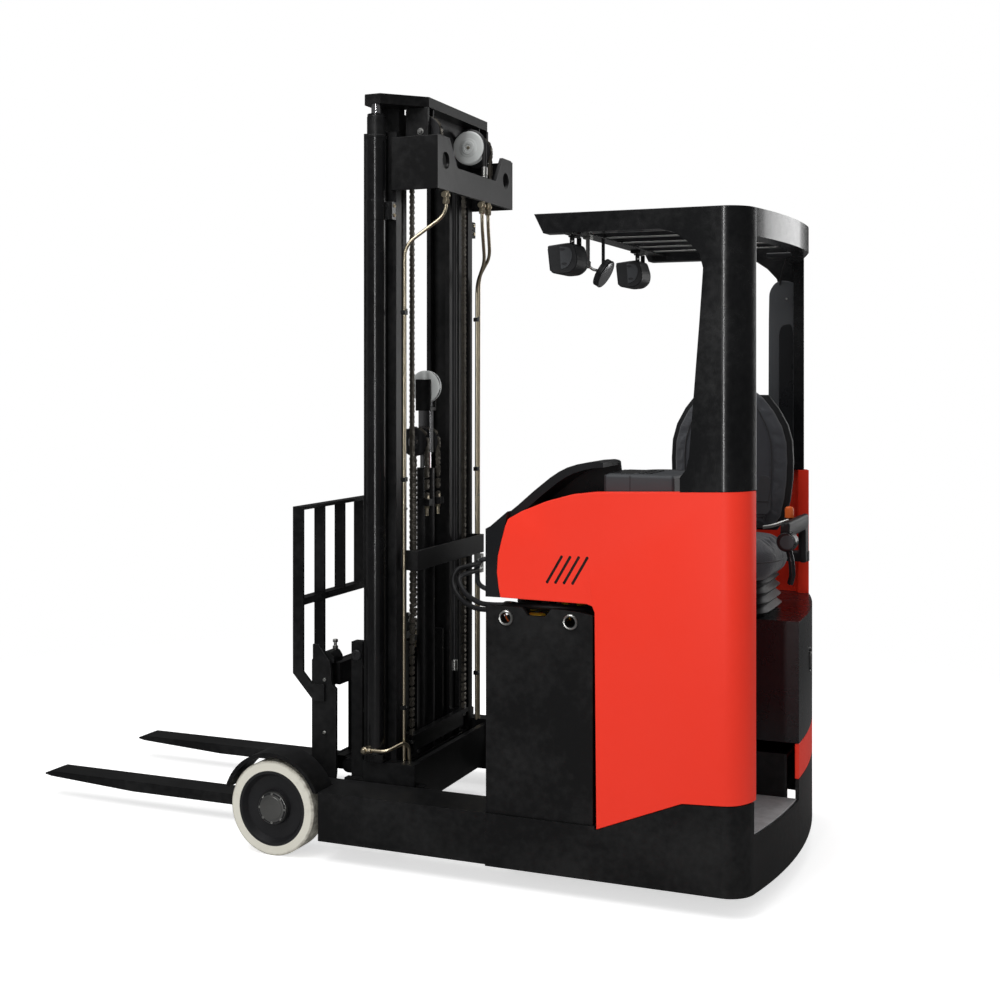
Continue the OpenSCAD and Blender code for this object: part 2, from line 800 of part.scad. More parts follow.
module free_chains() {
    color("#6b6048") both() {
        rod_z(crown_x - crown_r - 5, crown_y, 5, 1215, crown_z);
        rod_z(crown_x + crown_r + 5, crown_y, 5, 680, crown_z);
    }
}

module lift_chains() {
    color("#6b6048") both() rod_z(chain_x, chain_y, 6, 366 + seat, sheave_z);
}

// Fork carriage: a plate with rollers in the inner channels, and the lugs of the tilt pivot
plate_x = [-205, -175];
pivot_x = -132;
pivot_z = 250;
pivot_y = [284, 312];
pin_r = 16;

module carriage() {
    mid = (inner_rear - mast_front) / 2;
    color("#1b1c1e") {
        both() {
            slab(plate_x[0], -160, 296, 340, 200, 712);
            slab(-300, plate_x[0], 150, 168, 220, 690);
            for (z = [285, 625]) {
                rod_y(mid, z, -mast_front - mid - flange_t - seat, inner_y - 42, inner_y - web_t - 3);
                rod_y(mid, z, 20, 168, inner_y - 42);
            }
            difference() {
                union() {
                    slab(-161, pivot_x, pivot_y[0], pivot_y[1], pivot_z - 26, pivot_z + 26);
                    rod_y(pivot_x, pivot_z, 26, pivot_y[0], pivot_y[1]);
                }
                rod_y(pivot_x, pivot_z, pin_r + fit, pivot_y[0] - 1, pivot_y[1] + 1);
            }
        }
        for (z = [240, 600]) slab(plate_x[0], plate_x[1], -296, 296, z, z + 80);
        slab(-245, plate_x[0], -70, 70, 660, 680);
    }
}

tilt_x = [-100, -66];
bar_z = [[225, 275], [545, 625]];
shift_x = [-62, -46];

module fork_frame() {
    color("#1b1c1e") {
        for (z = bar_z) {
            w = z[0] < 400 ? 280 : 316;
            slab(tilt_x[0], tilt_x[1], -w, w, z[0], z[1]);
            slab(tilt_x[1], shift_x[0] - seat, -276, 276, z[0] + 8, z[1] - 8);
        }
        both() {
            slab(tilt_x[0], tilt_x[1], 150, 190, bar_z[0][1], bar_z[1][0]);
            slab(pivot_x, tilt_x[0], 252, 280, pivot_z - 22, pivot_z + 22);
            rod_y(pivot_x, pivot_z, 22, 252, 280);
            rod_y(pivot_x, pivot_z, pin_r, 280, 315);
        }
    }
}

side_in = 372;
side_out = side_in + 15;
rest_x = [8, 50];

module shift_plates() {
    color("#1b1c1e") {
        for (z = bar_z) slab(shift_x[0], shift_x[1], -side_in, side_in, z[0], z[1]);
        both() across(side_in, side_out) polygon([[-118, 211], [-34, 211], [-25, 245], [-25, 702], [-50, 702], [-98, 640],
            [-104, 560], [-122, 545], [-122, 240]]);
    }
}

module load_guard() {
    y = carriage_w / 2;
    color("#1b1c1e") {
        for (i = [0:rest_bars - 1]) {
            t = -y + 6 + (2 * y - 12) * i / (rest_bars - 1);
            low = i == 0 || i == rest_bars - 1 ? 640 : i == 1 || i == rest_bars - 2 ? 575 : 842;
            slab(rest_x[0], rest_x[1], t - 6, t + 6, low, guard_rest_top);
            if (low == 575) slab(shift_x[1] + seat, rest_x[0], t - 6, t + 6, 575, 615);
        }
        slab(rest_x[0], rest_x[1], -y, y, 842, 867);
        slab(rest_x[0], rest_x[1], -y, y, guard_rest_top - 12, guard_rest_top);
        both() across(side_out + seat, y) polygon([[rest_x[0], 642], [rest_x[1], 642], [rest_x[1], 592], [-36, 498],
            [-80, 498], [-80, 560], [-28, 560], [rest_x[0], 600]]);
    }
}

module forks() {
    heel = shift_x[1] + seat;
    low = fork_top - fork_t;
    color("#1d1e20") for (s = [-1, 1]) translate([0, s * fork_gap / 2, 0])
        across(-fork_w / 2, fork_w / 2) polygon([[heel, 640], [heel + fork_t, 640], [heel + fork_t, fork_top],
            [tip_x - 24, fork_top], [tip_x, fork_top - 9], [tip_x, fork_top - 14], [tip_x - 30, fork_top - 20],
            [tip_x - 420, low], [heel + 20, low], [heel, low + 20]]);
}

// Everything is drawn from the load wheel axle and set so that the origin is the middle of its length
module centred() {
    translate([-mid_x, 0, 0]) children();
}

centred() legs();
centred() base_frame();
centred() floor_sheets();
centred() battery();
centred() side_left();
centred() side_right();
centred() bonnet();
centred() bulkhead();
centred() seat_box();
centred() rear_band();
centred() seat_base();
centred() seat_cushion();
centred() backrest();
centred() armrest();
centred() dash();
centred() steering_wheel();
centred() guard_sides();
centred() guard_roof();
centred() lamps();
centred() rear_mirror();
centred() drive_motor();
centred() tyre_left();
centred() hub_left();
centred() tyre_right();
centred() hub_right();
centred() drive_head();
centred() drive_tyre();
centred() drive_hub();
centred() reach_frame();
centred() outer_mast();
centred() lift_tubes();
centred() mast_pipes();
centred() middle_mast();
centred() lift_rods();
centred() head_pulley();
centred() inner_mast();
centred() free_tube();
centred() free_rod();
centred() free_chains();
centred() lift_chains();
centred() carriage();
centred() fork_frame();
centred() shift_plates();
centred() load_guard();
centred() forks();
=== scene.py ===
import bpy
import bmesh
import json
import math
from mathutils import Matrix, Vector

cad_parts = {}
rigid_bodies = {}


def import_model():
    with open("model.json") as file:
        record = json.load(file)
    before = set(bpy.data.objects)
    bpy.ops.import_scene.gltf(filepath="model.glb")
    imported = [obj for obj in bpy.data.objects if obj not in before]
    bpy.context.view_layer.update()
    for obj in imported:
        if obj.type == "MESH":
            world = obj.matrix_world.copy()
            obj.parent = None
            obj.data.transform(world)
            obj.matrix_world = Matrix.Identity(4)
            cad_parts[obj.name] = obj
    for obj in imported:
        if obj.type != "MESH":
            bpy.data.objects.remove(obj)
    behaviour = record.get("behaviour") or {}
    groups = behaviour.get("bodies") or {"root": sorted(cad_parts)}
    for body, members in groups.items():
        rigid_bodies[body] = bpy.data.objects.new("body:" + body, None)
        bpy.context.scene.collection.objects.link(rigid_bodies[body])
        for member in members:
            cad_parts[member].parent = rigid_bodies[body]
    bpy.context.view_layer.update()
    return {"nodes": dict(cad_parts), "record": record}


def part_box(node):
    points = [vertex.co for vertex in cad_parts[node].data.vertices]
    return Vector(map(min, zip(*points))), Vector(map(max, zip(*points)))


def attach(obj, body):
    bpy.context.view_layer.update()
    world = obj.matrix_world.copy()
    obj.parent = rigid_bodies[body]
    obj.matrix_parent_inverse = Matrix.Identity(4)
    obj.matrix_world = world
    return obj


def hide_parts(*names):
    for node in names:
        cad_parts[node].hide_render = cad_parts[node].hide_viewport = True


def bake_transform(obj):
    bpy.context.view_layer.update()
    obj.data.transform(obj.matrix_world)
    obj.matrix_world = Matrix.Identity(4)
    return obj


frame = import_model()
print("frame loaded:", len(frame["nodes"]), "nodes")

# The drawing is in millimetres from the load wheel axle, the model in metres from the truck's middle.
axleX = 0.2675


def at(x, y, z):
    return Vector((x / 1000 + axleX, y / 1000, z / 1000))


# Camera and studio

photoView = {"place": (-2.365, 4.964, 1.6655), "turn": 202.2, "lens": 51.48, "drop": -0.12}

camera = bpy.data.objects.new("camera", bpy.data.cameras.new("camera"))
bpy.context.scene.collection.objects.link(camera)
camera.data.sensor_width = 36
camera.data.lens = photoView["lens"]
camera.data.shift_y = photoView["drop"]
camera.location = photoView["place"]
camera.rotation_euler = (math.radians(90), 0, math.radians(photoView["turn"]))
camera.data.clip_end = 100
bpy.context.scene.camera = camera
bpy.context.scene.view_settings.view_transform = "Standard"


# A socket that takes part in sums, so shader maths reads as plain expressions

class Value:
    def __init__(self, graph, socket):
        self.graph = graph
        self.socket = socket

    def sum(self, operation, other, swap=False):
        pair = [other, self] if swap else [self, other]
        return self.graph.node("ShaderNodeMath", {"operation": operation}, {0: pair[0], 1: pair[1]})

    def __add__(self, other):
        return self.sum("ADD", other)

    def __radd__(self, other):
        return self.sum("ADD", other, True)

    def __sub__(self, other):
        return self.sum("SUBTRACT", other)

    def __rsub__(self, other):
        return self.sum("SUBTRACT", other, True)

    def __mul__(self, other):
        return self.sum("MULTIPLY", other)

    def __rmul__(self, other):
        return self.sum("MULTIPLY", other, True)

    def __truediv__(self, other):
        return self.sum("DIVIDE", other)

    def __pow__(self, other):
        return self.sum("POWER", other)

    def clamped(self):
        return self.graph.node("ShaderNodeClamp", {}, {0: self})


class Graph:
    def __init__(self, tree):
        self.tree = tree

    def node(self, kind, settings=None, sockets=None, out=0):
        made = self.tree.nodes.new(kind)
        for name, setting in (settings or {}).items():
            if name == "stops":
                ramp = made.color_ramp
                while len(ramp.elements) < len(setting):
                    ramp.elements.new(0.5)
                for element, (place, colour) in zip(ramp.elements, setting):
                    element.position = place
                    element.color = colour if len(colour) == 4 else (*colour, 1)
            else:
                setattr(made, name, setting)
        for name, value in (sockets or {}).items():
            socket = made.inputs[name]
            if isinstance(value, Value):
                self.tree.links.new(value.socket, socket)
            elif hasattr(socket, "default_value"):
                if socket.type == "RGBA" and len(value) == 3:
                    value = (*value, 1)
                socket.default_value = value
        self.last = made
        return Value(self, made.outputs[out]) if made.outputs else made


class Finish(Graph):
    def __init__(self, name):
        self.material = bpy.data.materials.new(name)
        self.material.use_nodes = True
        super().__init__(self.material.node_tree)
        self.tree.nodes.clear()
        self.place = self.node("ShaderNodeTexCoord", out="Object")

    def noise(self, scale, detail=3, rough=0.5, place=None):
        return self.node("ShaderNodeTexNoise", {}, {"Vector": place or self.place, "Scale": scale, "Detail": detail,
                                                    "Roughness": rough})

    def ramp(self, value, low, high, bottom=0.0, top=1.0):
        return self.node("ShaderNodeMapRange", {}, {0: value, 1: low, 2: high, 3: bottom, 4: top})

    def mix(self, share, first, second):
        made = self.node("ShaderNodeMix", {"data_type": "RGBA"}, {0: share, 6: first, 7: second})
        return Value(self, self.last.outputs[2])

    def bump(self, height, strength, depth):
        return self.node("ShaderNodeBump", {}, {"Height": height, "Strength": strength, "Distance": depth})

    def close(self, **sockets):
        names = {key.replace("_", " "): value for key, value in sockets.items()}
        surface = self.node("ShaderNodeBsdfPrincipled", {}, names)
        self.node("ShaderNodeOutputMaterial", {}, {"Surface": surface})
        return self.material


# Finishes

def paint(name, colour, gloss, coat=0.0, peel=0.12, dust=0.5, grain=700, level=0.4):
    f = Finish(name)
    cloud = f.noise(3.1, 4)
    speck = f.noise(41, 5, 0.6)
    film = f.ramp(cloud * 0.6 + speck * 0.4, 0.44, 0.66)
    peelHeight = f.noise(grain, 2)
    dusty = [min(1, c * 1.02 + 0.022) for c in colour]
    base = f.mix(film * dust, colour, dusty)
    rough = gloss + film * 0.10 + (peelHeight - 0.5) * 0.05
    return f.close(Base_Color=base, Roughness=rough, Coat_Weight=coat, Coat_Roughness=0.08,
                   Specular_IOR_Level=level, Normal=f.bump(peelHeight, peel, 0.0006))


def metal(name, colour, gloss, streak=(8, 8, 260), wear=0.25, metallic=1.0):
    f = Finish(name)
    stretched = f.node("ShaderNodeMapping", {}, {"Vector": f.place, "Scale": streak})
    lines = f.noise(4, 3, 0.6, stretched)
    spots = f.noise(23, 4, 0.6)
    dark = [c * 0.55 for c in colour]
    base = f.mix(f.ramp(spots * 0.7 + lines * 0.3, 0.42, 0.7) * wear, colour, dark)
    return f.close(Base_Color=base, Roughness=gloss + (lines - 0.5) * 0.16 + spots * 0.08, Metallic=metallic,
                   Normal=f.bump(lines, 0.08, 0.0005))


def moulded(name, colour, gloss, grain=1100, depth=0.25, level=0.4):
    f = Finish(name)
    cells = f.node("ShaderNodeTexVoronoi", {}, {"Vector": f.place, "Scale": grain}, "Distance")
    cloud = f.noise(6, 4)
    base = f.mix(f.ramp(cloud, 0.4, 0.7) * 0.5, colour, [c * 1.15 + 0.004 for c in colour])
    return f.close(Base_Color=base, Roughness=gloss + (cloud - 0.5) * 0.12, Specular_IOR_Level=level,
                   Normal=f.bump(cells, depth, 0.0004))


def rubber(name, colour, gloss=0.6):
    f = Finish(name)
    fine = f.noise(900, 2)
    cloud = f.noise(12, 4)
    base = f.mix(f.ramp(cloud, 0.4, 0.7) * 0.6, colour, [c * 1.5 + 0.006 for c in colour])
    return f.close(Base_Color=base, Roughness=gloss + (cloud - 0.5) * 0.2, Normal=f.bump(fine, 0.2, 0.0003))


def weave(name, colour, scale=520):
    f = Finish(name)
    split = f.node("ShaderNodeSeparateXYZ", {}, {0: f.place})
    x = Value(f, f.last.outputs[0])
    z = Value(f, f.last.outputs[2])
    y = Value(f, f.last.outputs[1])
    warp = f.node("ShaderNodeMath", {"operation": "SINE"}, {0: (x + y * 0.6) * scale * 2.2})
    weft = f.node("ShaderNodeMath", {"operation": "SINE"}, {0: (z + y * 0.8) * scale * 2.2})
    knots = warp * weft
    cloud = f.noise(9, 4)
    fuzz = f.noise(1500, 3, 0.7)
    light = [c * 1.9 + 0.01 for c in colour]
    base = f.mix(f.ramp(knots * 0.5 + fuzz, 0.1, 1.0) * 0.75 + cloud * 0.15, colour, light)
    return f.close(Base_Color=base, Roughness=0.86, Sheen_Weight=0.25, Sheen_Roughness=0.5,
                   Normal=f.bump(knots * 0.5 + fuzz * 0.6, 0.5, 0.0006))


def tyreFinish(name, colour, axle):
    f = Finish(name)
    shifted = f.node("ShaderNodeVectorMath", {"operation": "SUBTRACT"}, {0: f.place, 1: axle})
    f.node("ShaderNodeSeparateXYZ", {}, {0: shifted})
    x, z = Value(f, f.last.outputs[0]), Value(f, f.last.outputs[2])
    reach = (x * x + z * z) ** 0.5
    grime = f.noise(38, 5, 0.65)
    cloud = f.noise(7, 3)
    tread = f.ramp(reach, 0.155, 0.1645)
    dirt = (tread * f.ramp(grime, 0.35, 0.6) * 0.8 + f.ramp(cloud * 0.5 + grime * 0.5, 0.52, 0.7) * 0.35).clamped()
    base = f.mix(dirt, colour, (0.30, 0.28, 0.23))
    return f.close(Base_Color=base, Roughness=0.42 + grime * 0.25, Normal=f.bump(grime, 0.15, 0.0008))


def glow(name, colour, strength, gloss=0.2):
    f = Finish(name)
    cells = f.noise(300, 2)
    return f.close(Base_Color=f.mix(cells * 0.3, colour, [c * 0.8 for c in colour]), Roughness=gloss,
                   Emission_Color=f.mix(cells * 0.3, colour, [c * 0.8 for c in colour]), Emission_Strength=strength)


leftAxle = tuple(at(0, 578.5, 165))
finish = {
    "frame": paint("frameBlack", (0.0045, 0.0046, 0.005), 0.36, 0.0, level=0.3),
    # mastBlack is also the painted shade that fills the panel vents
    "mast": paint("mastBlack", (0.0042, 0.0042, 0.0046), 0.34, 0.0, peel=0.1, level=0.34),
    "tube": paint("tubeBlack", (0.004, 0.004, 0.0045), 0.2, 0.2, peel=0.03, dust=0.2, level=0.5),
    "guard": paint("guardBlack", (0.004, 0.0042, 0.0048), 0.2, 0.3, peel=0.03, dust=0.3, grain=260, level=0.4),
    "red": paint("panelRed", (1.0, 0.042, 0.018), 0.42, 0.0, peel=0.05, dust=0.12, grain=300, level=0.25),
    "battery": paint("batteryBlack", (0.0052, 0.0052, 0.0056), 0.48, 0.0, peel=0.2, grain=900, level=0.22),
    "cover": moulded("coverBlack", (0.010, 0.0105, 0.012), 0.28, grain=1500, depth=0.06),
    "moulded": moulded("mouldedBlack", (0.012, 0.0125, 0.014), 0.5),
    "grey": moulded("dashGrey", (0.045, 0.048, 0.053), 0.55),
    "tread": metal("treadMetal", (0.55, 0.55, 0.56), 0.5, wear=0.6, metallic=0.35),
    "zinc": metal("zincPlate", (0.62, 0.62, 0.60), 0.3, streak=(30, 30, 30)),
    "pipe": metal("pipeZinc", (0.78, 0.68, 0.50), 0.3, streak=(60, 60, 14), wear=0.35),
    "chrome": metal("rodChrome", (0.82, 0.82, 0.84), 0.12, wear=0.1),
    "chain": metal("chainSteel", (0.17, 0.155, 0.13), 0.34, streak=(90, 90, 90), wear=0.6, metallic=0.7),
    "hub": metal("hubIron", (0.022, 0.022, 0.024), 0.42, streak=(20, 20, 20), metallic=0.3),
    "bolt": metal("boltSteel", (0.34, 0.34, 0.33), 0.34, streak=(60, 60, 60)),
    "loadTread": tyreFinish("loadTread", (0.74, 0.72, 0.63), leftAxle),
    "driveTread": rubber("driveTread", (0.03, 0.03, 0.03)),
    "rubber": rubber("hoseRubber", (0.012, 0.012, 0.013), 0.45),
    "pulley": moulded("pulleyWhite", (0.62, 0.64, 0.63), 0.35, grain=400, depth=0.08),
    "cloth": weave("seatCloth", (0.030, 0.032, 0.038)),
    # seatClothDark is also the painted shade over the lamp plate slots
    "clothDark": weave("seatClothDark", (0.011, 0.011, 0.013)),
    "lens": glow("lampLens", (0.75, 0.78, 0.82), 0.05),
    "orange": moulded("buttonOrange", (0.85, 0.16, 0.03), 0.4),
    "yellow": moulded("plugYellow", (0.8, 0.55, 0.03), 0.4),
}

nodeFinish = {
    "frame": ["legs", "base_frame", "bulkhead", "reach_frame", "carriage", "fork_frame", "shift_plates", "load_guard",
              "forks"],
    "mast": ["outer_mast", "middle_mast", "inner_mast", "free_tube"],
    "tube": ["lift_tubes"],
    "guard": ["guard_sides", "guard_roof"],
    "red": ["side_left", "side_right", "rear_band"],
    "battery": ["battery"],
    "cover": ["bonnet", "seat_box"],
    "moulded": ["armrest", "steering_wheel", "rear_mirror", "seat_base", "lamps"],
    "grey": ["dash"],
    "tread": ["floor_sheets"],
    "pipe": ["mast_pipes"],
    "chrome": ["lift_rods", "free_rod"],
    "chain": ["lift_chains", "free_chains"],
    "hub": ["hub_left", "hub_right", "drive_hub", "drive_head", "drive_motor"],
    "loadTread": ["tyre_left", "tyre_right"],
    "driveTread": ["drive_tyre"],
    "pulley": ["head_pulley"],
    "cloth": ["seat_cushion", "backrest"],
}
for name, group in nodeFinish.items():
    for node in group:
        mesh = frame["nodes"][node].data
        mesh.materials.clear()
        mesh.materials.append(finish[name])
print("finishes made:", len(finish))


# Mesh building

bodyFor = {node: body for body, nodes in frame["record"]["behaviour"]["bodies"].items() for node in nodes}


def finished(name, mesh, material, width=0.0, segments=2, angle=35, sharp=32, level=False):
    # bevels the hard edges, bakes the modifier and shades by angle
    piece = bpy.data.objects.new(name, mesh)
    bpy.context.scene.collection.objects.link(piece)
    if width:
        bevel = piece.modifiers.new("edges", "BEVEL")
        bevel.width = width
        bevel.segments = segments
        bevel.limit_method = "WEIGHT" if level else "ANGLE"
        bevel.angle_limit = math.radians(angle)
        bevel.miter_outer = "MITER_ARC"
        bevel.use_clamp_overlap = True
    baked = bpy.data.meshes.new_from_object(piece.evaluated_get(bpy.context.evaluated_depsgraph_get()))
    piece.modifiers.clear()
    baked.polygons.foreach_set("use_smooth", [not (level and abs(p.normal.y) > 0.9999) for p in baked.polygons])
    baked.set_sharp_from_angle(angle=math.radians(sharp))
    piece.data = baked
    if width and not level:
        piece.modifiers.new("normals", "WEIGHTED_NORMAL").keep_sharp = True
        baked = bpy.data.meshes.new_from_object(piece.evaluated_get(bpy.context.evaluated_depsgraph_get()))
        piece.modifiers.clear()
        piece.data = baked
    baked.materials.clear()
    baked.materials.append(material)
    baked.name = name
    return piece


def trimCrown(place):
    # the crown plate ends behind the lift tubes' front
    if place.z > 2.6525 and place.x > axleX - 0.24:
        place.x = axleX - 0.238


def drawCorner(place):
    # the far rear corner of the guard leans in a little
    if place.y < -0.1 and place.x < axleX - 1.56:
        share = min(1, (-place.y - 0.1) / 0.45)
        place.x += 0.05 * share * (axleX - 1.56 - place.x) / 0.131


def narrowHump(place):
    # the bonnet's hump keeps to the near side
    if 0.23 < place.y < 0.262:
        place.y += 0.17


vertexMoves = {"bonnet": narrowHump, "middle_mast": trimCrown, "guard_sides": drawCorner, "guard_roof": drawCorner}


def dressed(node, width, name=None, segments=2, angle=35, sharp=32, flat=0.4):
    # a copy of a CAD node with its hard edges softened
    source = frame["nodes"][node]
    made = bmesh.new()
    made.from_mesh(source.data)
    bmesh.ops.remove_doubles(made, verts=made.verts, dist=0.00002)
    if node in vertexMoves:
        for vertex in made.verts:
            vertexMoves[node](vertex.co)
    bmesh.ops.join_triangles(made, faces=made.faces, angle_face_threshold=math.radians(flat),
                             angle_shape_threshold=math.radians(180))
    panel = node in ("side_left", "side_right")
    if panel:
        # the vents keep their crisp edges
        weight = made.edges.layers.float.new("bevel_weight_edge")
        for edge in made.edges:
            middle = (edge.verts[0].co + edge.verts[1].co) / 2
            inVents = 1.0 < middle.z < 1.11 and axleX - 1.18 < middle.x < axleX - 1.015
            if not inVents and len(edge.link_faces) == 2 and edge.calc_face_angle() > math.radians(angle):
                edge[weight] = 1
    mesh = bpy.data.meshes.new(node)
    made.to_mesh(mesh)
    made.free()
    piece = finished(name or node + "Dressed", mesh, source.data.materials[0], width, segments, angle, sharp,
                     panel)
    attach(piece, bodyFor[node])
    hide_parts(node)
    return piece


class Shape:
    # gathers the solids of one piece, in the drawing's millimetres
    def __init__(self):
        self.made = bmesh.new()

    def loft(self, rings, closed=True):
        rows = [[self.made.verts.new(at(*p)) for p in ring] for ring in rings]
        n = len(rows[0])
        for low, high in zip(rows, rows[1:]):
            for i in range(n):
                self.made.faces.new([low[i], low[(i + 1) % n], high[(i + 1) % n], high[i]])
        if closed:
            self.made.faces.new(rows[0][::-1])
            self.made.faces.new(rows[-1])
        return self

    def prism(self, outline, axis, low, high):
        # outline is in the two other axes, taken in the order x, y, z
        put = {"x": lambda a, b, c: (c, a, b), "y": lambda a, b, c: (a, c, b), "z": lambda a, b, c: (a, b, c)}[axis]
        return self.loft([[put(a, b, level) for a, b in outline] for level in (low, high)])

    def box(self, x0, x1, y0, y1, z0, z1):
        return self.prism([(x0, y0), (x1, y0), (x1, y1), (x0, y1)], "z", z0, z1)

    def turned(self, centre, axis, profile, sides=40, caps=True):
        # profile is (radius, distance along the axis)
        rings = []
        for radius, along in profile:
            ring = []
            for k in range(sides):
                a = 2 * math.pi * k / sides
                u, v = radius * math.cos(a), radius * math.sin(a)
                offset = {"x": (along, u, v), "y": (v, along, u), "z": (u, v, along)}[axis]
                ring.append(tuple(c + o for c, o in zip(centre, offset)))
            rings.append(ring)
        return self.loft(rings, caps)

    def rod(self, centre, axis, radius, low, high, sides=28):
        return self.turned(centre, axis, [(radius, low), (radius, high)], sides)

    def tube(self, points, radius, sides=12, wide=1.0):
        # a round bar or hose along points, with a frame carried along it
        path = [Vector(p) for p in points]
        side = None
        rings = []
        for i, p in enumerate(path):
            ahead = (path[min(i + 1, len(path) - 1)] - path[max(i - 1, 0)]).normalized()
            if side is None:
                side = ahead.orthogonal().normalized()
            side = (side - ahead * side.dot(ahead)).normalized()
            other = ahead.cross(side)
            rings.append([tuple(p + side * radius * wide * math.cos(2 * math.pi * k / sides)
                                + other * radius * math.sin(2 * math.pi * k / sides)) for k in range(sides)])
        return self.loft(rings)

    def piece(self, name, material, body, slot=None, width=0.0, segments=2, angle=35, sharp=32, stands=()):
        bmesh.ops.recalc_face_normals(self.made, faces=self.made.faces)
        mesh = bpy.data.meshes.new(name)
        self.made.to_mesh(mesh)
        self.made.free()
        made = finished(name, mesh, finish[material], width / 1000, segments, angle, sharp)
        if body:
            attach(made, body)
        if stands:
            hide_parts(*stands)
        return made


def rounded(points, radius, steps=6):
    # a path of straight runs with its corners turned to arcs
    path = [Vector(p) for p in points]
    out = [path[0]]
    for before, corner, after in zip(path, path[1:], path[2:]):
        back, ahead = (before - corner), (after - corner)
        reach = min(radius, back.length * 0.49, ahead.length * 0.49)
        start, end = corner + back.normalized() * reach, corner + ahead.normalized() * reach
        for k in range(steps + 1):
            t = k / steps
            out.append(start * (1 - t) ** 2 + corner * 2 * t * (1 - t) + end * t ** 2)
    out.append(path[-1])
    return [tuple(p) for p in out]


# Repeats: one tree sets an item at even steps, another round a circle, a third along a path

class Nodes(Graph):
    def __init__(self, name, inputs):
        self.tree = bpy.data.node_groups.new(name, "GeometryNodeTree")
        self.tree.interface.new_socket("Geometry", in_out="INPUT", socket_type="NodeSocketGeometry")
        self.tree.interface.new_socket("Geometry", in_out="OUTPUT", socket_type="NodeSocketGeometry")
        self.ids = {}
        for label, kind in inputs.items():
            self.ids[label] = self.tree.interface.new_socket(label, in_out="INPUT", socket_type=kind).identifier
        self.entry = self.tree.nodes.new("NodeGroupInput")
        self.exit = self.tree.nodes.new("NodeGroupOutput")

    def given(self, label):
        return Value(self, self.entry.outputs[label])

    def done(self, geometry):
        real = self.node("GeometryNodeRealizeInstances", {}, {0: geometry})
        coloured = self.node("GeometryNodeSetMaterial", {}, {"Geometry": real, "Material": self.given("Finish")})
        self.tree.links.new(coloured.socket, self.exit.inputs[0])
        return self


def rowTree():
    g = Nodes("rowOfItems", {"Item": "NodeSocketObject", "Count": "NodeSocketInt", "Start": "NodeSocketVector",
                             "Step": "NodeSocketVector", "Turn": "NodeSocketVector", "Finish": "NodeSocketMaterial"})
    line = g.node("GeometryNodeMeshLine", {}, {"Count": g.given("Count"), "Start Location": g.given("Start"),
                                               "Offset": g.given("Step")})
    item = g.node("GeometryNodeObjectInfo", {}, {"Object": g.given("Item")}, "Geometry")
    turn = g.node("FunctionNodeEulerToRotation", {}, {0: g.given("Turn")})
    return g.done(g.node("GeometryNodeInstanceOnPoints", {}, {"Points": line, "Instance": item, "Rotation": turn}))


def ringTree():
    g = Nodes("ringOfItems", {"Item": "NodeSocketObject", "Count": "NodeSocketInt", "Radius": "NodeSocketFloat",
                              "Centre": "NodeSocketVector", "Turn": "NodeSocketVector", "Finish": "NodeSocketMaterial"})
    circle = g.node("GeometryNodeCurvePrimitiveCircle", {}, {"Resolution": g.given("Count"),
                                                             "Radius": g.given("Radius")})
    item = g.node("GeometryNodeObjectInfo", {}, {"Object": g.given("Item")}, "Geometry")
    points = g.node("GeometryNodeCurveToPoints", {"mode": "EVALUATED"}, {"Curve": circle})
    spread = g.node("GeometryNodeInstanceOnPoints", {}, {"Points": points, "Instance": item})
    turn = g.node("FunctionNodeEulerToRotation", {}, {0: g.given("Turn")})
    return g.done(g.node("GeometryNodeTransform", {}, {"Geometry": g.node("GeometryNodeRealizeInstances", {},
                                                                          {0: spread}),
                                                       "Translation": g.given("Centre"), "Rotation": turn}))


def pathTree():
    g = Nodes("itemsAlongPath", {"Item": "NodeSocketObject", "Pitch": "NodeSocketFloat", "Finish": "NodeSocketMaterial"})
    curve = g.node("GeometryNodeMeshToCurve", {}, {"Mesh": Value(g, g.entry.outputs[0])})
    points = g.node("GeometryNodeCurveToPoints", {"mode": "LENGTH"}, {"Curve": curve, "Length": g.given("Pitch")})
    tangent = Value(g, g.last.outputs["Tangent"])
    upright = g.node("FunctionNodeAlignRotationToVector", {"axis": "Z"}, {"Vector": tangent})
    turn = g.node("FunctionNodeAlignRotationToVector", {"axis": "Y", "pivot_axis": "Z"},
                  {"Rotation": upright, "Vector": (0, 1, 0)})
    item = g.node("GeometryNodeObjectInfo", {}, {"Object": g.given("Item")}, "Geometry")
    return g.done(g.node("GeometryNodeInstanceOnPoints", {}, {"Points": points, "Instance": item, "Rotation": turn}))


trees = {"row": rowTree(), "ring": ringTree(), "path": pathTree()}


def itemFrom(shape, name):
    # a small solid about the origin that a tree repeats
    shape.made.transform(Matrix.Translation((-axleX, 0, 0)))
    bmesh.ops.recalc_face_normals(shape.made, faces=shape.made.faces)
    mesh = bpy.data.meshes.new(name)
    shape.made.to_mesh(mesh)
    shape.made.free()
    mesh.polygons.foreach_set("use_smooth", [True] * len(mesh.polygons))
    mesh.set_sharp_from_angle(angle=math.radians(32))
    return bpy.data.objects.new(name, mesh)


def repeated(runs):
    # runs are (tree, path or None, inputs); the meshes of all runs become one
    joined = bmesh.new()
    for kind, path, inputs in runs:
        start = bpy.data.meshes.new("path")
        if path:
            start.from_pydata([tuple(at(*p)) for p in path], [(k, k + 1) for k in range(len(path) - 1)], [])
        holder = bpy.data.objects.new("holder", start)
        bpy.context.scene.collection.objects.link(holder)
        modifier = holder.modifiers.new("repeat", "NODES")
        modifier.node_group = trees[kind].tree
        for label, value in inputs.items():
            modifier[trees[kind].ids[label]] = value
        baked = bpy.data.meshes.new_from_object(holder.evaluated_get(bpy.context.evaluated_depsgraph_get()))
        joined.from_mesh(baked)
        bpy.data.objects.remove(holder)
    return joined


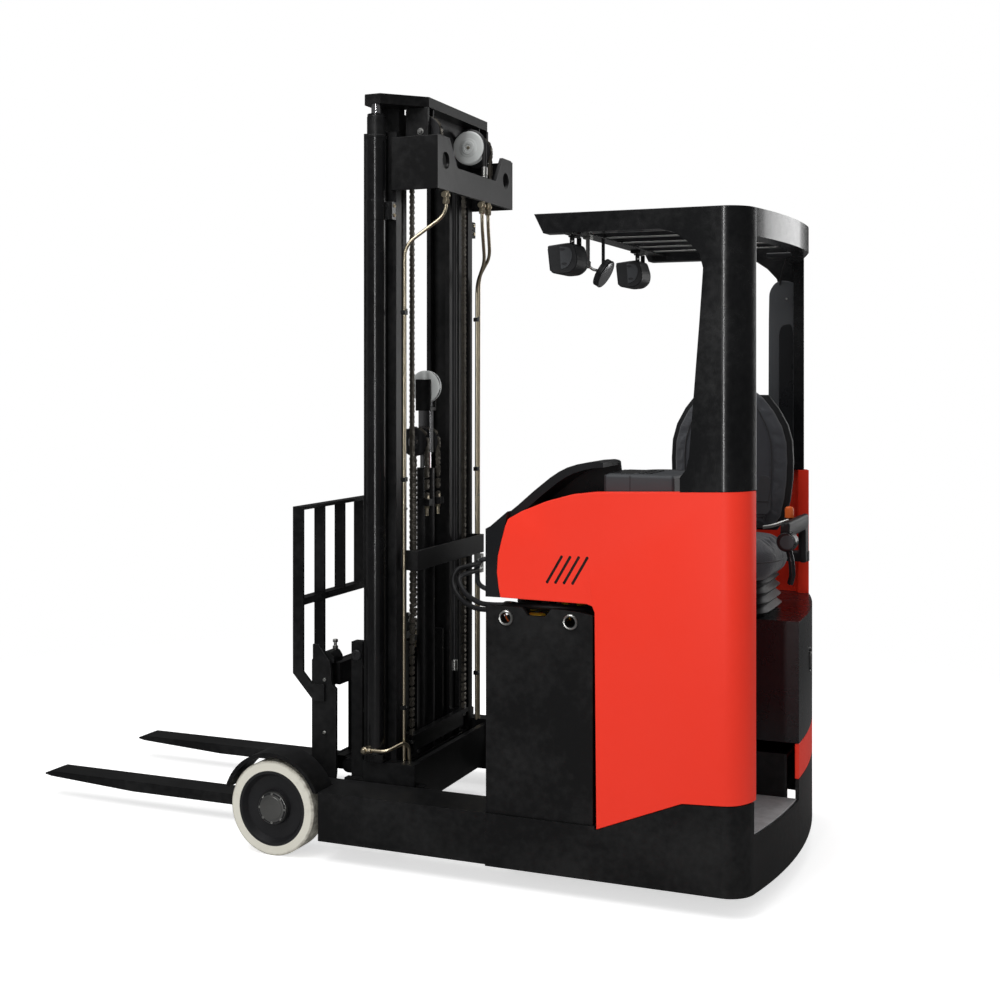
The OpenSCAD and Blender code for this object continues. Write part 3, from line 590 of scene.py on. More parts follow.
def repeatedPiece(name, runs, material, body, stands=()):
    for run in runs:
        run[2]["Finish"] = finish[material]
    joined = repeated(runs)
    mesh = bpy.data.meshes.new(name)
    joined.to_mesh(mesh)
    joined.free()
    return placed(name, mesh, material, body, stands)


def placed(name, mesh, material, body, stands=()):
    mesh.polygons.foreach_set("use_smooth", [True] * len(mesh.polygons))
    mesh.set_sharp_from_angle(angle=math.radians(32))
    mesh.materials.clear()
    mesh.materials.append(finish[material])
    piece = bpy.data.objects.new(name, mesh)
    bpy.context.scene.collection.objects.link(piece)
    if body:
        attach(piece, body)
    if stands:
        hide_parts(*stands)
    return piece


def joinedMesh(name, pieces):
    # several meshes as one
    joined = bmesh.new()
    for piece in pieces:
        joined.from_mesh(piece.data)
        bpy.data.objects.remove(piece)
    mesh = bpy.data.meshes.new(name)
    joined.to_mesh(mesh)
    joined.free()
    return mesh


# Small items that the trees repeat

def screw(radius, height, name, kind="hex"):
    shape = Shape()
    if kind == "hex":
        shape.turned((0, 0, 0), "z", [(radius * 1.25, 0), (radius * 1.25, height * 0.12), (radius * 1.02, height * 0.14),
                                      (radius, height * 0.85), (radius * 0.86, height)], 6)
        shape.turned((0, 0, 0), "z", [(radius * 1.4, -0.5), (radius * 1.4, height * 0.1)], 20)
    else:
        shape.turned((0, 0, 0), "z", [(radius, -0.5), (radius, height * 0.45), (radius * 0.8, height * 0.85),
                                      (radius * 0.42, height), (radius * 0.36, height * 0.5)], 20)
    return itemFrom(shape, name)


hexBolt = screw(9, 8, "hexBolt")
domeScrew = screw(7, 5, "domeScrew", "dome")
smallScrew = screw(4.5, 3, "smallScrew", "dome")
outLeft = (-math.pi / 2, 0, 0)   # an item's top turned to face left, right, ahead, back
outRight = (math.pi / 2, 0, 0)
outAhead = (0, math.pi / 2, 0)
outBack = (0, -math.pi / 2, 0)
outUp = (0, 0, 0)


def row(item, count, start, step, turn):
    return ("row", None, {"Item": item, "Count": count, "Start": tuple(at(*start)),
                          "Step": tuple(v / 1000 for v in step), "Turn": turn})


def ring(item, count, radius, centre, turn):
    return ("ring", None, {"Item": item, "Count": count, "Radius": radius / 1000, "Centre": tuple(at(*centre)),
                           "Turn": turn})


print("helpers ready")

# Edges softened on the CAD shapes that already look right

softEdges = {"legs": 5, "base_frame": 3, "side_left": 4, "side_right": 4, "bonnet": 7, "bulkhead": 2, "seat_box": 5,
             "rear_band": 2.5, "dash": 12, "guard_sides": 8, "guard_roof": 4, "battery": 3, "reach_frame": 3,
             "outer_mast": 2, "middle_mast": 2, "inner_mast": 3, "carriage": 2, "fork_frame": 3, "shift_plates": 3,
             "load_guard": 2, "forks": 3, "lift_tubes": 1.5, "free_tube": 1, "lift_rods": 1, "free_rod": 1.5,
             "hub_left": 1.5, "hub_right": 1.5, "floor_sheets": 1, "rear_mirror": 3, "armrest": 8}
for node, width in softEdges.items():
    dressed(node, width / 1000)
print("edges softened:", len(softEdges))

# Leaf chains: two kinds of link take turns along a path

leaf = {"pitch": 19, "wide": 8.2, "end": 7.8, "waist": 5.2, "layers": {"odd": [(-8, -5.4), (-1.4, 1.4), (5.4, 8)],
                                                                       "even": [(-5, -1.8), (1.8, 5)]}}


def linkItem(kind):
    shape = Shape()
    half = leaf["pitch"] / 2
    outline = []
    for side in (1, -1):
        for turn in (-25, 10, 50, 90, 130, 170, 205):
            a = math.radians(turn if side > 0 else turn + 180)
            outline.append((leaf["end"] * math.cos(a), side * half + leaf["end"] * math.sin(a)))
        outline.append((-side * leaf["waist"], 0))
    for low, high in leaf["layers"][kind]:
        shape.prism(outline, "y", low, high)
    if kind == "odd":
        for place in (-half, half):
            shape.rod((0, 0, place), "y", 3.1, -9.6, 9.6, 10)
    return itemFrom(shape, kind + "Link")


links = {kind: linkItem(kind) for kind in leaf["layers"]}


def lengthOf(path):
    return sum((Vector(b) - Vector(a)).length for a, b in zip(path, path[1:]))


def cutFrom(path, skip):
    # the path without its first stretch
    points = [Vector(p) for p in path]
    while skip > 0:
        step = (points[1] - points[0]).length
        if step > skip:
            points[0] = points[0].lerp(points[1], skip / step)
            break
        skip -= step
        points = points[1:]
    return [tuple(p) for p in points]


def chainPiece(name, paths, bodies, start=None, end=None, stands=()):
    runs = []
    for path in paths:
        count = max(1, round(lengthOf(path) / leaf["pitch"] / 2))
        pitch = lengthOf(path) / count / 2
        for kind, skip in (("odd", pitch * 0.5), ("even", pitch * 1.5)):
            runs.append(("path", cutFrom(path, skip), {"Item": links[kind], "Pitch": pitch * 2 / 1000}))
    piece = repeatedPiece(name, runs, "chain", None if len(bodies) > 1 else bodies[0], stands)
    if len(bodies) > 1:
        tuple(at(*start))
        tuple(at(*end))
        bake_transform(piece)
    return piece


def arc(centre, radius, first, last, steps=22):
    # an arc in the plane of x and z, angles from the forward direction
    return [(centre[0] + radius * math.cos(math.radians(first + (last - first) * k / steps)), centre[1],
             centre[2] + radius * math.sin(math.radians(first + (last - first) * k / steps))) for k in range(steps + 1)]


def straight(a, b, steps=1):
    return [tuple(Vector(a).lerp(Vector(b), k / steps)) for k in range(steps + 1)]


lift = {"x": -355, "y": 236, "sheaveX": -412, "sheaveZ": 2565, "radius": 57, "foot": 372, "head": 2436}
for side, sign in (("Left", 1), ("Right", -1)):
    y = sign * lift["y"]
    centre = (lift["sheaveX"], y, lift["sheaveZ"])
    chainPiece("liftChain" + side, [straight((lift["x"], y, lift["sheaveZ"]), (lift["x"], y, lift["foot"]), 60)],
               ("middle_stage", "inner_stage"), (lift["x"], y, lift["sheaveZ"]), (lift["x"], y, lift["foot"]))
    chainPiece("chainOverSheave" + side, [arc(centre, lift["radius"], 0, 180)], ("middle_stage",))
    rear = lift["sheaveX"] - lift["radius"]
    chainPiece("chainToHead" + side, [straight((rear, y, lift["sheaveZ"]), (rear, y, lift["head"]), 8)],
               ("middle_stage", "reach_carriage"), (rear, y, lift["sheaveZ"]), (rear, y, lift["head"]))
    # a core inside the run of links
    core = Shape().tube(straight((rear, y, lift["sheaveZ"]), (rear, y, lift["head"]), 24), 5.6, 8) \
        .piece("chainCore" + side, "chain", None)
    tuple(at(rear, y, lift["sheaveZ"]))
    tuple(at(rear, y, lift["head"]))
    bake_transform(core)
    Shape().turned(centre, "y", [(13, -15), (60, -15), (62, -12.5), (61, -10.5), (48.5, -8.6), (48.5, 8.6), (61, 10.5),
                                 (62, 12.5), (60, 15), (34, 15), (31, 12), (21, 12), (19, 17), (13, 17)], 48) \
        .rod(centre, "y", 10, -20, 21, 20).piece("chainSheave" + side, "hub", "middle_stage", "frame_black", 0.6)
    Shape().box(-504, rear - 10, y - 12, y + 12, 2372, 2392).box(rear - 10, rear + 10, y - 10, y + 10, 2374, 2390) \
        .rod((rear, y, 0), "z", 6, 2356, 2404, 16).box(rear - 8, rear + 8, y - 8, y + 8, 2404, 2438) \
        .piece("chainEndTop" + side, "bolt", "reach_carriage", "chain_steel", 1)
    Shape().rod((lift["x"], y, 0), "z", 6, 334, 352, 16).rod((lift["x"], y, 0), "z", 9.5, 339, 349, 6) \
        .box(lift["x"] - 7, lift["x"] + 7, y - 7, y + 7, 366, 382) \
        .piece("chainEndFoot" + side, "bolt", "inner_stage", "chain_steel", 0.8)

crown = {"x": -278, "y": 50, "z": 1430, "radius": 50, "front": 688, "rear": 1222}
for side, sign in (("Left", 1), ("Right", -1)):
    y = sign * crown["y"]
    centre = (crown["x"], y, crown["z"])
    frontX, rearX = crown["x"] + crown["radius"], crown["x"] - crown["radius"]
    chainPiece("freeChainFront" + side, [straight((frontX, y, crown["z"]), (frontX, y, crown["front"]), 40)],
               ("free_ram", "lift_carriage"), (frontX, y, crown["z"]), (frontX, y, crown["front"]))
    chainPiece("freeChainTop" + side, [arc(centre, crown["radius"], 0, 180)], ("free_ram",))
    chainPiece("freeChainRear" + side, [straight((rearX, y, crown["z"]), (rearX, y, crown["rear"]), 12)],
               ("free_ram", "inner_stage"), (rearX, y, crown["z"]), (rearX, y, crown["rear"]))
    Shape().turned(centre, "y", [(8, -12), (53, -12), (54, -10), (41, -8.4), (41, 8.4), (54, 10), (53, 12), (26, 12),
                                 (24, 9), (16, 9), (14, 13), (8, 13)], 40) \
        .piece("crownWheel" + side, "hub", "free_ram", "frame_black", 0.6)
    Shape().box(rearX - 7, rearX + 7, y - 7, y + 7, 1204, 1232).rod((rearX, y, 0), "z", 6, 1150, 1216, 16) \
        .rod((rearX, y, 0), "z", 10, 1178, 1189, 6).piece("freeChainEnd" + side, "pipe", "inner_stage", "pipe_zinc", 0.8)
    Shape().box(frontX - 7, frontX + 7, y - 7, y + 7, 672, 698).rod((frontX, y, 0), "z", 6, 630, 676, 16) \
        .rod((frontX, y, 0), "z", 10, 646, 658, 6).piece("carriageChainEnd" + side, "pipe", "lift_carriage", "pipe_zinc", 0.8)
Shape().box(-366, -344, 226, 246, 352, 364).piece("chainSeatLeft", "mast", "inner_stage", "chain_steel", 1,
                                                            stands=("lift_chains",))
Shape().box(-336, -320, 40, 60, 1206, 1214).piece("freeChainSeat", "mast", "inner_stage", "chain_steel", 1,
                                                  stands=("free_chains",))
print("chains made")

# Pulleys for the hoses, with the hoses over them

headWheel = {"place": (-440, -97, 2559), "rim": 64, "hose": 9}
Shape().turned(headWheel["place"], "y", [(14, -14), (61, -14), (64, -12), (64, -9.5), (53, -4), (53, 4), (64, 9.5), (64, 12),
                                         (61, 14), (57, 14.6), (37, 13), (34, 14.6), (27, 14.6), (25, 17), (15, 17),
                                         (14, 12)], 64) \
    .piece("headPulleyWheel", "pulley", "middle_stage", "pulley_white", 0.5, stands=("head_pulley",))
Shape().turned(headWheel["place"], "y", [(14, -37.5), (14, 9), (11.5, 9)], 28).rod(headWheel["place"], "y", 6.5, 9, 15, 6) \
    .piece("headPulleyBolt", "pipe", "middle_stage", "pipe_zinc", 0.7)
freeWheel = {"place": (-300, 0, 1640), "rim": 60}
Shape().turned(freeWheel["place"], "y", [(14, -12), (58, -12), (61.5, -10), (61.5, -8), (50, -3), (50, 3), (61.5, 8), (61.5, 10),
                                         (58, 12), (52, 12.6), (30, 11.4), (26, 14), (15, 14), (14, 11)], 64) \
    .turned(freeWheel["place"], "y", [(13.5, -11), (13.5, 12), (7, 12), (7, 18)], 24) \
    .piece("freePulleyWheel", "pulley", "free_ram", "pulley_white", 0.5)
Shape().box(-332, -268, -26, -20, 1560, 1668).box(-332, -268, 20, 26, 1560, 1668).box(-332, -268, -26, 26, 1548, 1562) \
    .piece("freePulleyFork", "mast", "free_ram", "frame_black", 2)


over = arc(headWheel["place"], 63, -8, 184, 26)
Shape().tube(over, 9.5, 14).piece("headHoseArc", "rubber", "middle_stage")
front, rear = over[0], over[-1]
down = straight(front, (front[0], front[1], 560), 40)
hose = Shape().tube(down, 9.5, 14).piece("headHoseFront", "rubber", None)
tuple(at(*front))
tuple(at(front[0], front[1], 560))
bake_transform(hose)
fall = straight(rear, (rear[0], rear[1], 2476), 6)
hose = Shape().tube(fall, 9.5, 14).piece("headHoseRear", "rubber", None)
tuple(at(*rear))
tuple(at(rear[0], rear[1], 2476))
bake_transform(hose)
crimps = {"headCrimps": ((rear[0], rear[1]), 2440, 1, "reach_carriage"), "footCrimp": ((front[0], front[1]), 540, 1, "inner_stage")}
for sign in (1, -1):
    cheek = rounded([(-441, 2652), (-441, 2520), (-424, 2492), (-372, 2492), (-352, 2520), (-352, 2652), (-441, 2652)], 14, 4)[:-1]
    y0, y1 = sorted((sign * 268, sign * 284))
    Shape().prism(cheek, "y", y0, y1).piece("crownCheek" + ("Left" if sign > 0 else "Right"), "mast", "middle_stage", None, 2)
repeatedPiece("cheekBolts", [row(hexBolt, 1, (-412, 284, 2565), (0, 0, 1), outLeft),
                             row(hexBolt, 1, (-412, -284, 2565), (0, 0, 1), outRight)], "bolt", "middle_stage")
for name, (place, low, up, body) in crimps.items():
    Shape().turned((*place, low), "z", [(8, 0), (11, 2), (11, 8), (9, 10), (11.8, 12), (11.8, 40), (10, 43)], 24) \
        .piece(name, "zinc", body, None, 0.5)
print("pulleys and hoses made")

# Oil pipes on the fixed stage

pipes = {"pipeLeft": [(-508, 272, 2346), (-508, 272, 2262), (-371, 331, 2150), (-369, 331, 1400), (-369, 331, 296)],
         "footPipe": [(-270, 421, 345), (-330, 421, 346), (-352, 412, 352), (-378, 352, 366), (-390, 336, 350), (-391, 331, 292)],
         "pipeRight": [(-508, -61, 2346), (-508, -61, 2255), (-460, -200, 2130), (-371, -331, 2050), (-369, -331, 1300),
                       (-369, -331, 300)],
         "pipeFar": [(-508, -120, 2346), (-508, -120, 2262), (-470, -230, 2150), (-371, -352, 2080), (-369, -352, 1300),
                     (-369, -352, 300)]}
for name, path in pipes.items():
    Shape().tube(rounded(path, 46, 8), 6.6, 16).piece(name, "pipe", "reach_carriage", "pipe_zinc",
                                                      stands=("mast_pipes",) if name == "pipeLeft" else ())
fittings = {"fittingLeft": (-508, 272, 2346), "fittingRight": (-508, -61, 2346), "fittingFar": (-508, -120, 2346)}
for name, (x, y, z) in fittings.items():
    Shape().turned((x, y, z), "z", [(8, 1), (11, 0), (11, -8), (14, -9), (14, -20), (11, -22), (11, -30), (13.2, -31),
                                    (13.2, -44), (10, -47)], 6) \
        .turned((x, y, z - 14), "y", [(5, -22), (8, -20), (8, 14), (11, 15), (11, 20)], 16) \
        .piece(name, "pipe", "reach_carriage", "pipe_zinc", 0.8)
Shape().turned((-266, 424, 345), "x", [(8, -20), (11, -18), (11, -6), (9, -4)], 6) \
    .turned((-260, 422, 345), "y", [(6, -14), (13, -12), (13, 10), (9, 12), (9, 19), (7, 21)], 20) \
    .piece("footBanjo", "pipe", "reach_carriage", "pipe_zinc", 0.8)
clips = Shape()
for y in (331, -331):
    for z in (480, 1300, 1900):
        clips.box(-379, -360, y - 12, y + 12, z, z + 16)
clips.piece("pipeClips", "mast", "reach_carriage", None, 2)
runs = [row(smallScrew, 3, (-379, 331, 488), (0, 0, 715), outBack), row(smallScrew, 3, (-379, -331, 488), (0, 0, 715), outBack)]
repeatedPiece("clipScrews", runs, "bolt", "reach_carriage")
bands = Shape()
for sign in (1, -1):
    centre = (-285, sign * 385, 2236)
    bands.turned(centre, "z", [(35.4, 0), (37.2, 1), (37.2, 71), (35.4, 72)], 48)
    bands.box(-345, -320, sign * 345 if sign > 0 else -378, 378 if sign > 0 else -345, 2240, 2304)
bands.piece("tubeBands", "tube", "reach_carriage", "frame_black", 1)
repeatedPiece("bandBolts", [row(domeScrew, 2, (-345, 362, 2256), (0, 0, 34), outBack),
                            row(domeScrew, 2, (-345, -362, 2256), (0, 0, 34), outBack)], "pipe", "reach_carriage")
for side, sign in (("Left", 1), ("Right", -1)):
    Shape().turned((-285, sign * 385, 2541), "z", [(36, -10), (37, -8), (37, -1), (33.5, 1), (33.5, 66), (31, 70), (24, 72),
                                                   (24, 76), (18.4, 77)], 48) \
        .piece("tubeCollar" + side, "mast", "reach_carriage", "frame_black", 0.5)
print("pipes made")

# Black fills in the panel vents, painted shade for the dark inside the slots; pale undersides on the roof bars

vent = {"foot": (-1030, 1014), "head": (-1079, 1097), "radius": 5.6, "step": -29, "depth": (596, 633.2)}
ventShade = Shape()
lean = math.atan2(vent["head"][1] - vent["foot"][1], vent["head"][0] - vent["foot"][0])
for sign in (1, -1):
    for k in range(4):
        outline = []
        for (x, z), turn in ((vent["foot"], math.pi), (vent["head"], 0)):
            for step in range(9):
                a = lean + turn - math.pi / 2 + math.pi * step / 8
                outline.append((x + vent["step"] * k + vent["radius"] * math.cos(a), z + vent["radius"] * math.sin(a)))
        low, high = sorted(sign * d for d in vent["depth"])
        ventShade.prism(outline, "y", low, high)
# painted shade: black solids fill the vent slots where only shade shows through
ventShade.piece("ventLiners", "mast", "chassis")

# Seat: padded forms swelled by cloth pressure, with seams and trim laid on after

def baked(piece):
    mesh = bpy.data.meshes.new_from_object(piece.evaluated_get(bpy.context.evaluated_depsgraph_get()))
    piece.modifiers.clear()
    piece.data = mesh
    return piece


def swollen(name, shape, material, cap, pressure=4, voxel=0.006):
    bmesh.ops.recalc_face_normals(shape.made, faces=shape.made.faces)
    mesh = bpy.data.meshes.new(name)
    shape.made.to_mesh(mesh)
    shape.made.free()
    piece = bpy.data.objects.new(name, mesh)
    bpy.context.scene.collection.objects.link(piece)
    remesh = piece.modifiers.new("voxels", "REMESH")
    remesh.mode = "VOXEL"
    remesh.voxel_size = voxel
    baked(piece)
    smooth = piece.modifiers.new("relax", "SMOOTH")
    smooth.iterations = 6
    baked(piece)
    before = [v.co.copy() for v in piece.data.vertices]
    cloth = piece.modifiers.new("swell", "CLOTH")
    cloth.settings.use_pressure = True
    cloth.settings.uniform_pressure_force = pressure
    cloth.settings.effector_weights.gravity = 0
    cloth.settings.tension_stiffness = 12
    cloth.settings.bending_stiffness = 0.6
    cloth.collision_settings.use_collision = False
    cloth.point_cache.frame_start, cloth.point_cache.frame_end = 1, 20
    for number in range(1, 21):
        bpy.context.scene.frame_set(number)
    baked(piece)
    for vertex, first in zip(piece.data.vertices, before):
        move = vertex.co - first
        if move.length > cap:
            vertex.co = first + move * (cap / move.length)
    bpy.context.scene.frame_set(1)
    piece.modifiers.new("finer", "SUBSURF").levels = 1
    baked(piece)
    piece.data.polygons.foreach_set("use_smooth", [True] * len(piece.data.polygons))
    piece.data.materials.clear()
    piece.data.materials.append(finish[material])
    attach(piece, "chassis")
    return piece


def pillow(rings, sides=44, power=2.6):
    # rings are (centre x, centre y, z, half width, half depth); each ring is a soft-cornered oval
    shape = Shape()
    rows = []
    for cx, cy, z, a, b in rings:
        row = []
        for k in range(sides):
            t = 2 * math.pi * k / sides
            u, v = math.cos(t), math.sin(t)
            row.append((cx + a * math.copysign(abs(u) ** (2 / power), u), cy + b * math.copysign(abs(v) ** (2 / power), v), z))
        rows.append(row)
    return shape.loft(rows)


backRest = {"x": -1410, "y": -318, "rings": [(1104, 120, 22), (1110, 165, 34), (1150, 196, 38), (1220, 214, 40), (1300, 224, 40),
                                             (1370, 226, 40), (1440, 222, 39), (1500, 205, 38), (1560, 172, 37),
                                             (1610, 132, 34), (1636, 100, 28), (1646, 70, 16)]}
backRings = [(backRest["x"], backRest["y"], z, a, b) for z, a, b in backRest["rings"]]
piece = swollen("backrestCloth", pillow(backRings), "cloth", 0.014)
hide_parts("backrest")
seams = Shape()
for sign in (1, -1):
    inset = [(backRest["x"] + sign * (a - 62), backRest["y"] + b + 9, z) for x, y, z, a, b in backRings[2:-3]]
    seams.tube(rounded(inset, 20, 3), 2.6, 8)
seams.tube(rounded([(backRest["x"] - 140, backRest["y"] + 47, 1165), (backRest["x"], backRest["y"] + 50, 1150),
                    (backRest["x"] + 140, backRest["y"] + 47, 1165)], 30, 5), 2.6, 8)
seams.piece("backrestSeams", "clothDark", "chassis")
Shape().loft([[(x, backRest["y"] + 38, z) for x, z in outline] if k == 0 else [(x, backRest["y"] + 51, z) for x, z in outline]
              for k, outline in enumerate(2 * [rounded([(-1570, 1186), (-1572, 1300), (-1560, 1314), (-1400, 1318),
                                                        (-1272, 1314), (-1262, 1300), (-1264, 1186), (-1280, 1172),
                                                        (-1400, 1168), (-1556, 1172)], 12, 3)])]) \
    .piece("lumbarPanel", "grey", "chassis", None, 4)
Shape().prism([(-1564, 1216), (-1270, 1216), (-1270, 1221), (-1564, 1221)], "y", backRest["y"] + 50, backRest["y"] + 52.4) \
    .piece("lumbarSeam", "clothDark", "chassis", None, 0.8)
shell = [(cx, cy - 20, z, a + 6, b - 8) for cx, cy, z, a, b in backRings[1:-2]]
pillow(shell, 44, 3.2).piece("backrestShell", "moulded", "chassis", None, 0)

cushion = {"x": -1436, "y": -58, "rings": [(984, 190, 190), (992, 214, 214), (1020, 226, 226), (1052, 228, 228), (1078, 220, 220),
                                           (1092, 196, 196), (1098, 150, 150)]}
piece = swollen("cushionCloth", pillow([(cushion["x"], cushion["y"], z, a, b) for z, a, b in cushion["rings"]], 56, 4.2),
                "cloth", 0.016)
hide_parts("seat_cushion")
piping = Shape()
loop = []
for k in range(73):
    t = 2 * math.pi * k / 72
    u, v = math.cos(t), math.sin(t)
    loop.append((cushion["x"] + 233 * math.copysign(abs(u) ** 0.5, u), cushion["y"] + 233 * math.copysign(abs(v) ** 0.5, v), 1046))
piping.tube(loop, 2.8, 8)
for sign in (1, -1):
    piping.tube([(cushion["x"] + sign * 132, cushion["y"] + 205 - 41 * k, 1103 - 0.9 * abs(k - 5)) for k in range(11)], 2.4, 8)
piping.piece("cushionSeams", "clothDark", "chassis")

bellows = {"x": -1436, "y": -60, "low": 851, "high": 984, "folds": 4, "outer": 186, "inner": 168}
rings = []
for k in range(bellows["folds"] * 4 + 1):
    t = k / (bellows["folds"] * 4)
    z = bellows["low"] + (bellows["high"] - bellows["low"]) * t
    half = bellows["inner"] + (bellows["outer"] - bellows["inner"]) * (0.5 - 0.5 * math.cos(2 * math.pi * bellows["folds"] * t)) + 10 * (1 - t)
    rings.append((bellows["x"], bellows["y"], z, half, half))
piece = pillow(rings, 56, 5).piece("seatBellows", "rubber", "chassis", None, stands=("seat_base",))
print("seat made")

arm = {"x": -1680, "y": (-330, 38), "z": (1118, 1172)}
rings = []
for y, grow in ((-334, 0.72), (-328, 0.94), (-300, 1), (-120, 1.0), (-40, 1.0), (20, 0.96), (34, 0.8), (39, 0.5)):
    outline = []
    for k in range(28):
        t = 2 * math.pi * k / 28
        u, v = math.cos(t), math.sin(t)
        outline.append((arm["x"] + 19 * grow * math.copysign(abs(u) ** 0.6, u), y, 1145 + 27 * grow * math.copysign(abs(v) ** 0.6, v)))
    rings.append(outline)
shape = Shape().loft(rings)
shape.box(-1690, -1668, -328, -282, 1004, 1124).box(-1700, -1612, -330, -296, 1002, 1038)
shape.piece("armPad", "moulded", "chassis", "cover_black", 3, stands=("armrest",))
Shape().turned((-1686, -10, 1108), "y", [(8, -4), (30, -2), (34, 3), (34, 52), (31, 58), (10, 60), (9, 57)], 40) \
    .tube(rounded([(-1690, 20, 1084), (-1702, 26, 1040), (-1704, 22, 990), (-1694, 14, 962)], 40, 6), 11, 14) \
    .piece("armKnob", "cover", "chassis", None, 1)
Shape().turned((-1690, 52, 1108), "y", [(24, 0), (24, 1.6), (22, 2.2)], 32).piece("armKnobRing", "grey", "chassis", None, 0.3)
Shape().tube(rounded([(-1600, -262, 1020), (-1622, -240, 1090), (-1640, -216, 1150)], 40, 6), 9, 12) \
    .box(-1660, -1630, -226, -206, 1138, 1168).piece("beltStalk", "moulded", "chassis", None, 3)
Shape().turned((-1648, -214, 1166), "z", [(4, 0), (14, 1), (16, 5), (16, 34), (12, 41), (4, 43)], 24) \
    .piece("beltButton", "orange", "chassis", None, 0.8)
Shape().tube(rounded([(-1648, -208, 1160), (-1590, -190, 1138), (-1560, -176, 1134)], 24, 5), 7, 12) \
    .piece("beltTongue", "zinc", "chassis", None, 0)
print("arm rest made")

# Lamps, mirror and roof

lampSides = {"x": -1040, "z": 2110, "half": 60}
for name, y in (("Left", 450), ("Right", -300)):
    x, z = lampSides["x"], lampSides["z"]
    body = rounded([(x + 56, z + 1), (x + 46, z - 88), (x + 20, z - 95), (x - 22, z - 92), (x - 46, z - 72), (x - 50, z - 40),
                    (x - 34, z + 9), (x - 4, z + 8), (x + 56, z + 1)], 14, 4)[:-1]
    Shape().prism(body, "y", y - 60, y + 60).piece("lampBody" + name, "moulded", "chassis", "cover_black", 5, segments=3,
                                                   stands=("lamps",) if name == "Left" else ())
    plates = Shape()
    slotShade = Shape()
    for side in (1, -1):
        outline = rounded([(x + 12, z - 3), (x + 7, z - 80), (x - 18, z - 70), (x - 30, z - 50), (x - 34, z - 26), (x - 22, z - 6),
                           (x + 12, z - 3)], 9, 3)[:-1]
        plates.prism(outline, "y", y + side * 60, y + side * 62.6)
        # painted shade: dark ovals stand for the shade seen through the slots in the plates
        for cx, cz in ((x + 2, z - 13), (x - 5, z - 61)):
            slotShade.prism([(cx + 10 * math.cos(a / 8 * math.pi), cz + 4.6 * math.sin(a / 8 * math.pi)) for a in range(16)],
                        "y", y + side * 61, y + side * 63.4)
    plates.piece("lampPlates" + name, "grey", "chassis", None, 0.8)
    slotShade.piece("lampSlots" + name, "clothDark", "chassis")
    rim = [(y - 54, z - 82), (y + 54, z - 82), (y + 54, z - 8), (y - 54, z - 8)]
    frontAt = lambda height: x + 46 + (height - (z - 88)) * 10 / 89
    Shape().loft([[(frontAt(b) + d, a, b) for a, b in rim] for d in (-3, 2.6)]).piece("lampFace" + name, "cover", "chassis",
                                                                                     None, 1.5)
    Shape().turned((x + 53, y, z - 45), "x", [(12, -8), (33, -6), (33, 1.5), (30, 3.4), (14, 5.2), (3, 5.6)], 36) \
        .piece("lampLens" + name, "lens", "chassis", None, 0)
    Shape().box(x - 27, x - 19, y - 38, y + 38, z + 30, 2153).box(x - 31, x - 15, y - 38, y - 32, z - 6, z + 34) \
        .box(x - 31, x - 15, y + 32, y + 38, z - 6, z + 34).box(x - 34, x + 6, y - 34, y + 34, 2149, 2156.7) \
        .piece("lampBracket" + name, "frame", "chassis", None, 1.2)
    repeatedPiece("lampBolts" + name, [row(domeScrew, 1, (x - 23, y + 38, z + 16), (0, 0, 1), outLeft),
                                       row(domeScrew, 1, (x - 23, y - 38, z + 16), (0, 0, 1), outRight),
                                       row(hexBolt, 2, (x - 12, y - 16, 2149), (0, 32, 0), (math.pi, 0, 0))], "bolt", "chassis")

bars = Shape()
for k in range(5):
    y = -573 + 191 * (k + 1)
    bars.box(-1640, -1094, y - 18.5, y + 18.5, 2160.8, 2163.2)
bars.piece("roofBarLinings", "zinc", "chassis", None, 0.8)
mirrorPlace = at(-1062, 120, 2040)
tilt = Matrix.Translation(mirrorPlace) @ Matrix.Rotation(math.radians(60), 4, "Y") @ Matrix.Translation(-mirrorPlace)
for name, profile, material in (("mirrorShell", [(4, 23), (30, 21), (46, 15), (52, 6), (53, 1), (51, -1.5), (48, -1), (47, 2)], "moulded"),
                                ("mirrorGlass", [(47.5, 1.5), (47, -1.4), (36, -2.6), (18, -3.6), (3, -4)], "chrome")):
    shape = Shape().turned((-1062, 120, 2040), "z", profile, 48)
    shape.made.transform(tilt)
    shape.piece(name, material, "chassis", None, 0, stands=("rear_mirror",) if name == "mirrorShell" else ())
Shape().rod((-1052, 290, 0), "z", 7, 2062, 2157, 16).turned((-1052, 290, 0), "z", [(7, 2052), (11, 2056), (11, 2072), (7, 2076)], 6) \
    .tube(rounded([(-1052, 290, 2060), (-1050, 230, 2050), (-1044, 168, 2052), (-1046, 136, 2050)], 20, 5), 5, 12) \
    .box(-1066, -1038, 276, 304, 2150, 2156.7).piece("mirrorStand", "zinc", "chassis", None, 0.8)

# Trim on the far pillar, with its cable and screws

outline = rounded([(-1500, 1330), (-1502, 1900), (-1504, 2010), (-1530, 2046), (-1566, 2050), (-1604, 2040), (-1622, 1990),
                   (-1624, 1900), (-1624, 1330), (-1500, 1330)], 26, 5)[:-1]
Shape().prism(outline, "y", -572.6, -560).piece("pillarTrim", "grey", "chassis", None, 5, segments=3)
inner = rounded([(-1543, 1345), (-1543, 1850), (-1556, 1880), (-1590, 1884), (-1596, 1850), (-1596, 1345), (-1543, 1345)], 16, 4)[:-1]
Shape().prism(inner, "y", -561, -557.4).piece("pillarTrimInset", "cover", "chassis", None, 2.5)
repeatedPiece("pillarScrews", [row(smallScrew, 2, (-1572, -560, 1978), (0, 0, -590), outLeft)], "zinc", "chassis")
Shape().tube(rounded([(-1589, -500, 2157), (-1580, -505, 2120), (-1562, -530, 2084), (-1548, -556, 2048), (-1546, -565, 2030)],
                     24, 5), 4, 10).piece("pillarCable", "rubber", "chassis")
Shape().box(-1640, -1540, -420, -330, 2120, 2138).piece("roofSwitchBox", "cover", "chassis", None, 4)
